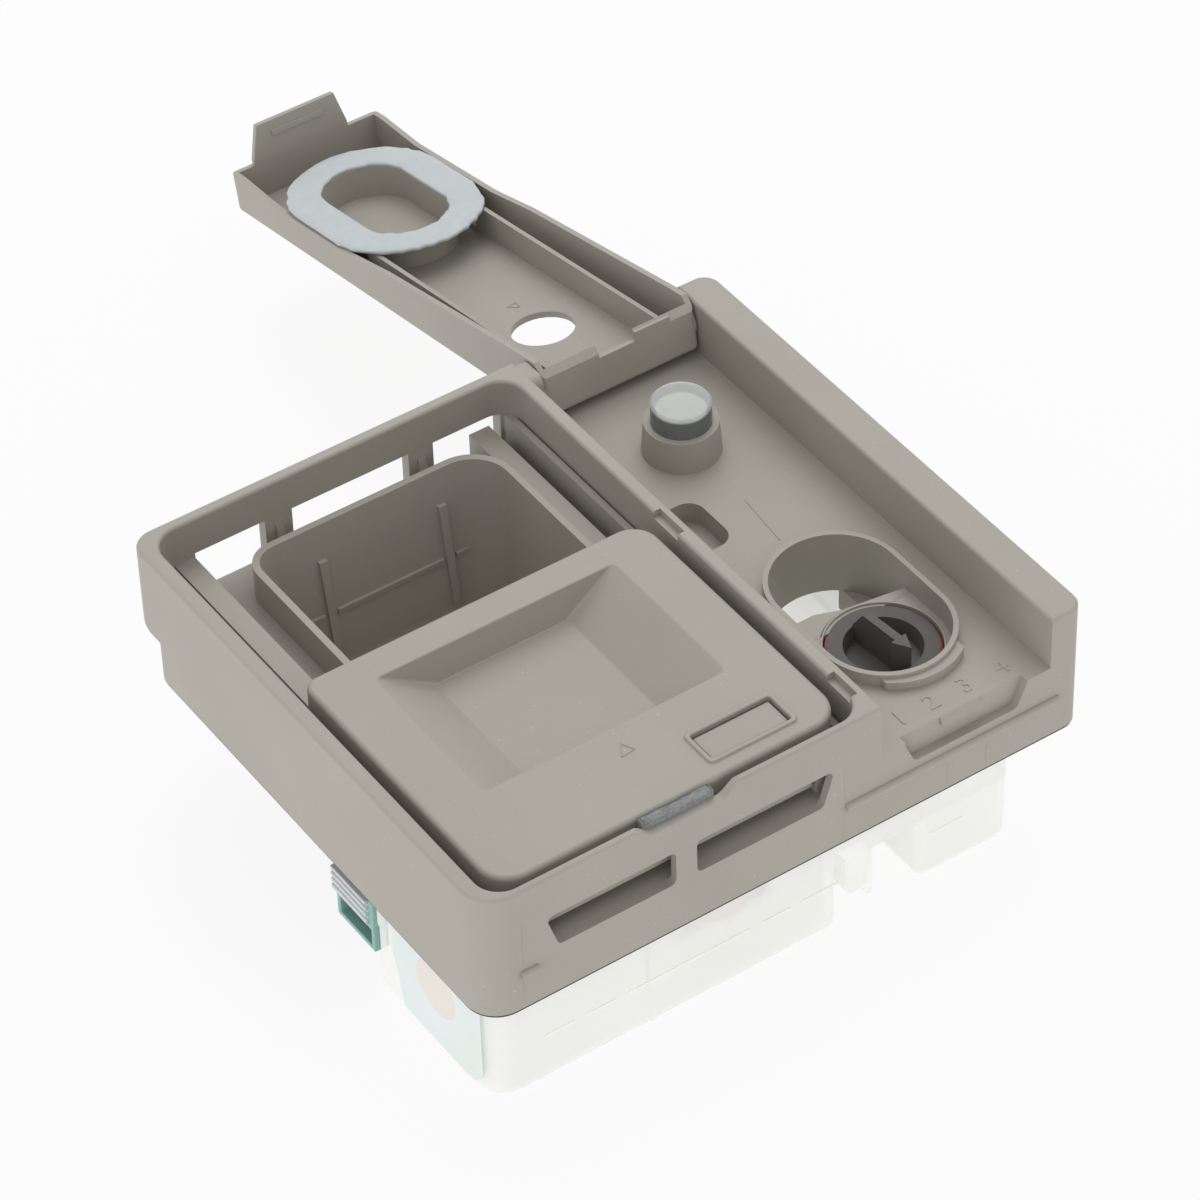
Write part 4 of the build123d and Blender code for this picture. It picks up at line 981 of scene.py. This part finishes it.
class DISPENSER_OT_stage(bpy.types.Operator):
    """White floor, soft studio light and the camera at the photograph's angle"""

    bl_idname = "dispenser.stage"
    bl_label = "Stage"

    def execute(self, context):
        scene = context.scene
        floor = Finish("floor_white")
        floor.plain(Base_Color=(0.92, 0.92, 0.92, 1.0), Roughness=0.9, Specular_IOR_Level=0.0)
        glow = floor.node("ShaderNodeEmission", Color=WHITE, Strength=1.0)
        mixed = floor.node("ShaderNodeMixShader")
        shown = seen_directly(floor.tree) * 0.28 + 0.60
        for slot, value in zip(mixed.inputs, (shown, floor.shader.outputs[0], glow.outputs[0])):
            feed(floor.tree, slot, value)
        feed(floor.tree, floor.tree.nodes["Material Output"].inputs["Surface"], mixed.outputs[0])
        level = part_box("rinse_tank")[0].z - FLOOR_GAP * MM
        corners = [(x * FLOOR_HALF, y * FLOOR_HALF, level) for x, y in ((-1, -1), (1, -1), (1, 1), (-1, 1))]
        mesh = bpy.data.meshes.new("floor")
        mesh.from_pydata(corners, [], [(0, 1, 2, 3)])
        link("floor", mesh, floor.material)

        scene.world = bpy.data.worlds.new("studio")
        scene.world.use_nodes = True
        tree = scene.world.node_tree
        background = tree.nodes["Background"].inputs
        feed(tree, background["Color"], WHITE)
        feed(tree, background["Strength"], seen_directly(tree) * 0.35 + 0.65)
        for lamp in LAMPS:
            area_light(*lamp)

        lens = bpy.data.cameras.new("camera")
        lens.lens = CAMERA_LENS
        lens.sensor_width = CAMERA_SENSOR
        lens.clip_start = CAMERA_NEAR
        lens.clip_end = CAMERA_FAR
        camera = bpy.data.objects.new("camera", lens)
        turn = Matrix.Identity(4)
        for angle, axis in ((CAMERA_HEADING, "Z"), (90 - CAMERA_TILT, "X"), (CAMERA_ROLL, "Z")):
            turn = turn @ Matrix.Rotation(math.radians(angle), 4, axis)
        camera.matrix_world = Matrix.Translation(CAMERA_PLACE) @ turn
        scene.collection.objects.link(camera)
        scene.camera = camera
        scene.view_settings.view_transform = "Standard"
        return {"FINISHED"}


def area_light(name, spot, aim, width, height, power):
    """A lamp with a rectangular face that looks at its aim."""
    light = bpy.data.lights.new(name, "AREA")
    light.shape = "RECTANGLE"
    light.size = width
    light.size_y = height
    light.energy = power
    lamp = bpy.data.objects.new(name, light)
    lamp.location = spot
    lamp.rotation_euler = (Vector(aim) - Vector(spot)).to_track_quat("-Z", "Y").to_euler()
    bpy.context.scene.collection.objects.link(lamp)


OPERATORS = (
    DISPENSER_OT_front,
    DISPENSER_OT_door,
    DISPENSER_OT_flap,
    DISPENSER_OT_dial,
    DISPENSER_OT_housing,
    DISPENSER_OT_works,
    DISPENSER_OT_stage,
)


class DISPENSER_PT_panel(bpy.types.Panel):
    """Lists the dispenser's pieces, sizes and colours"""

    bl_idname = "DISPENSER_PT_panel"
    bl_label = "Dispenser"
    bl_space_type = "VIEW_3D"
    bl_region_type = "UI"
    bl_category = "Dispenser"

    def draw(self, context):
        layout = self.layout
        for owner in (context.scene.dispenser_sizes, context.scene.dispenser_colours):
            for name in owner.bl_rna.properties.keys():
                if name not in ("rna_type", "name"):
                    layout.prop(owner, name)
        for operator in OPERATORS:
            layout.operator(operator.bl_idname)


CLASSES = (DispenserColours, DispenserSizes, *OPERATORS, DISPENSER_PT_panel)


def register():
    for item in CLASSES:
        bpy.utils.register_class(item)
    bpy.types.Scene.dispenser_sizes = bpy.props.PointerProperty(type=DispenserSizes)
    bpy.types.Scene.dispenser_colours = bpy.props.PointerProperty(type=DispenserColours)


def unregister():
    del bpy.types.Scene.dispenser_colours
    del bpy.types.Scene.dispenser_sizes
    for item in reversed(CLASSES):
        bpy.utils.unregister_class(item)


def main():
    register()
    bpy.ops.dispenser.front()
    bpy.ops.dispenser.door()
    bpy.ops.dispenser.flap()
    bpy.ops.dispenser.dial()
    bpy.ops.dispenser.housing()
    bpy.ops.dispenser.works()
    bpy.ops.dispenser.stage()
    bpy.context.view_layer.update()


if __name__ == "__main__":
    main()
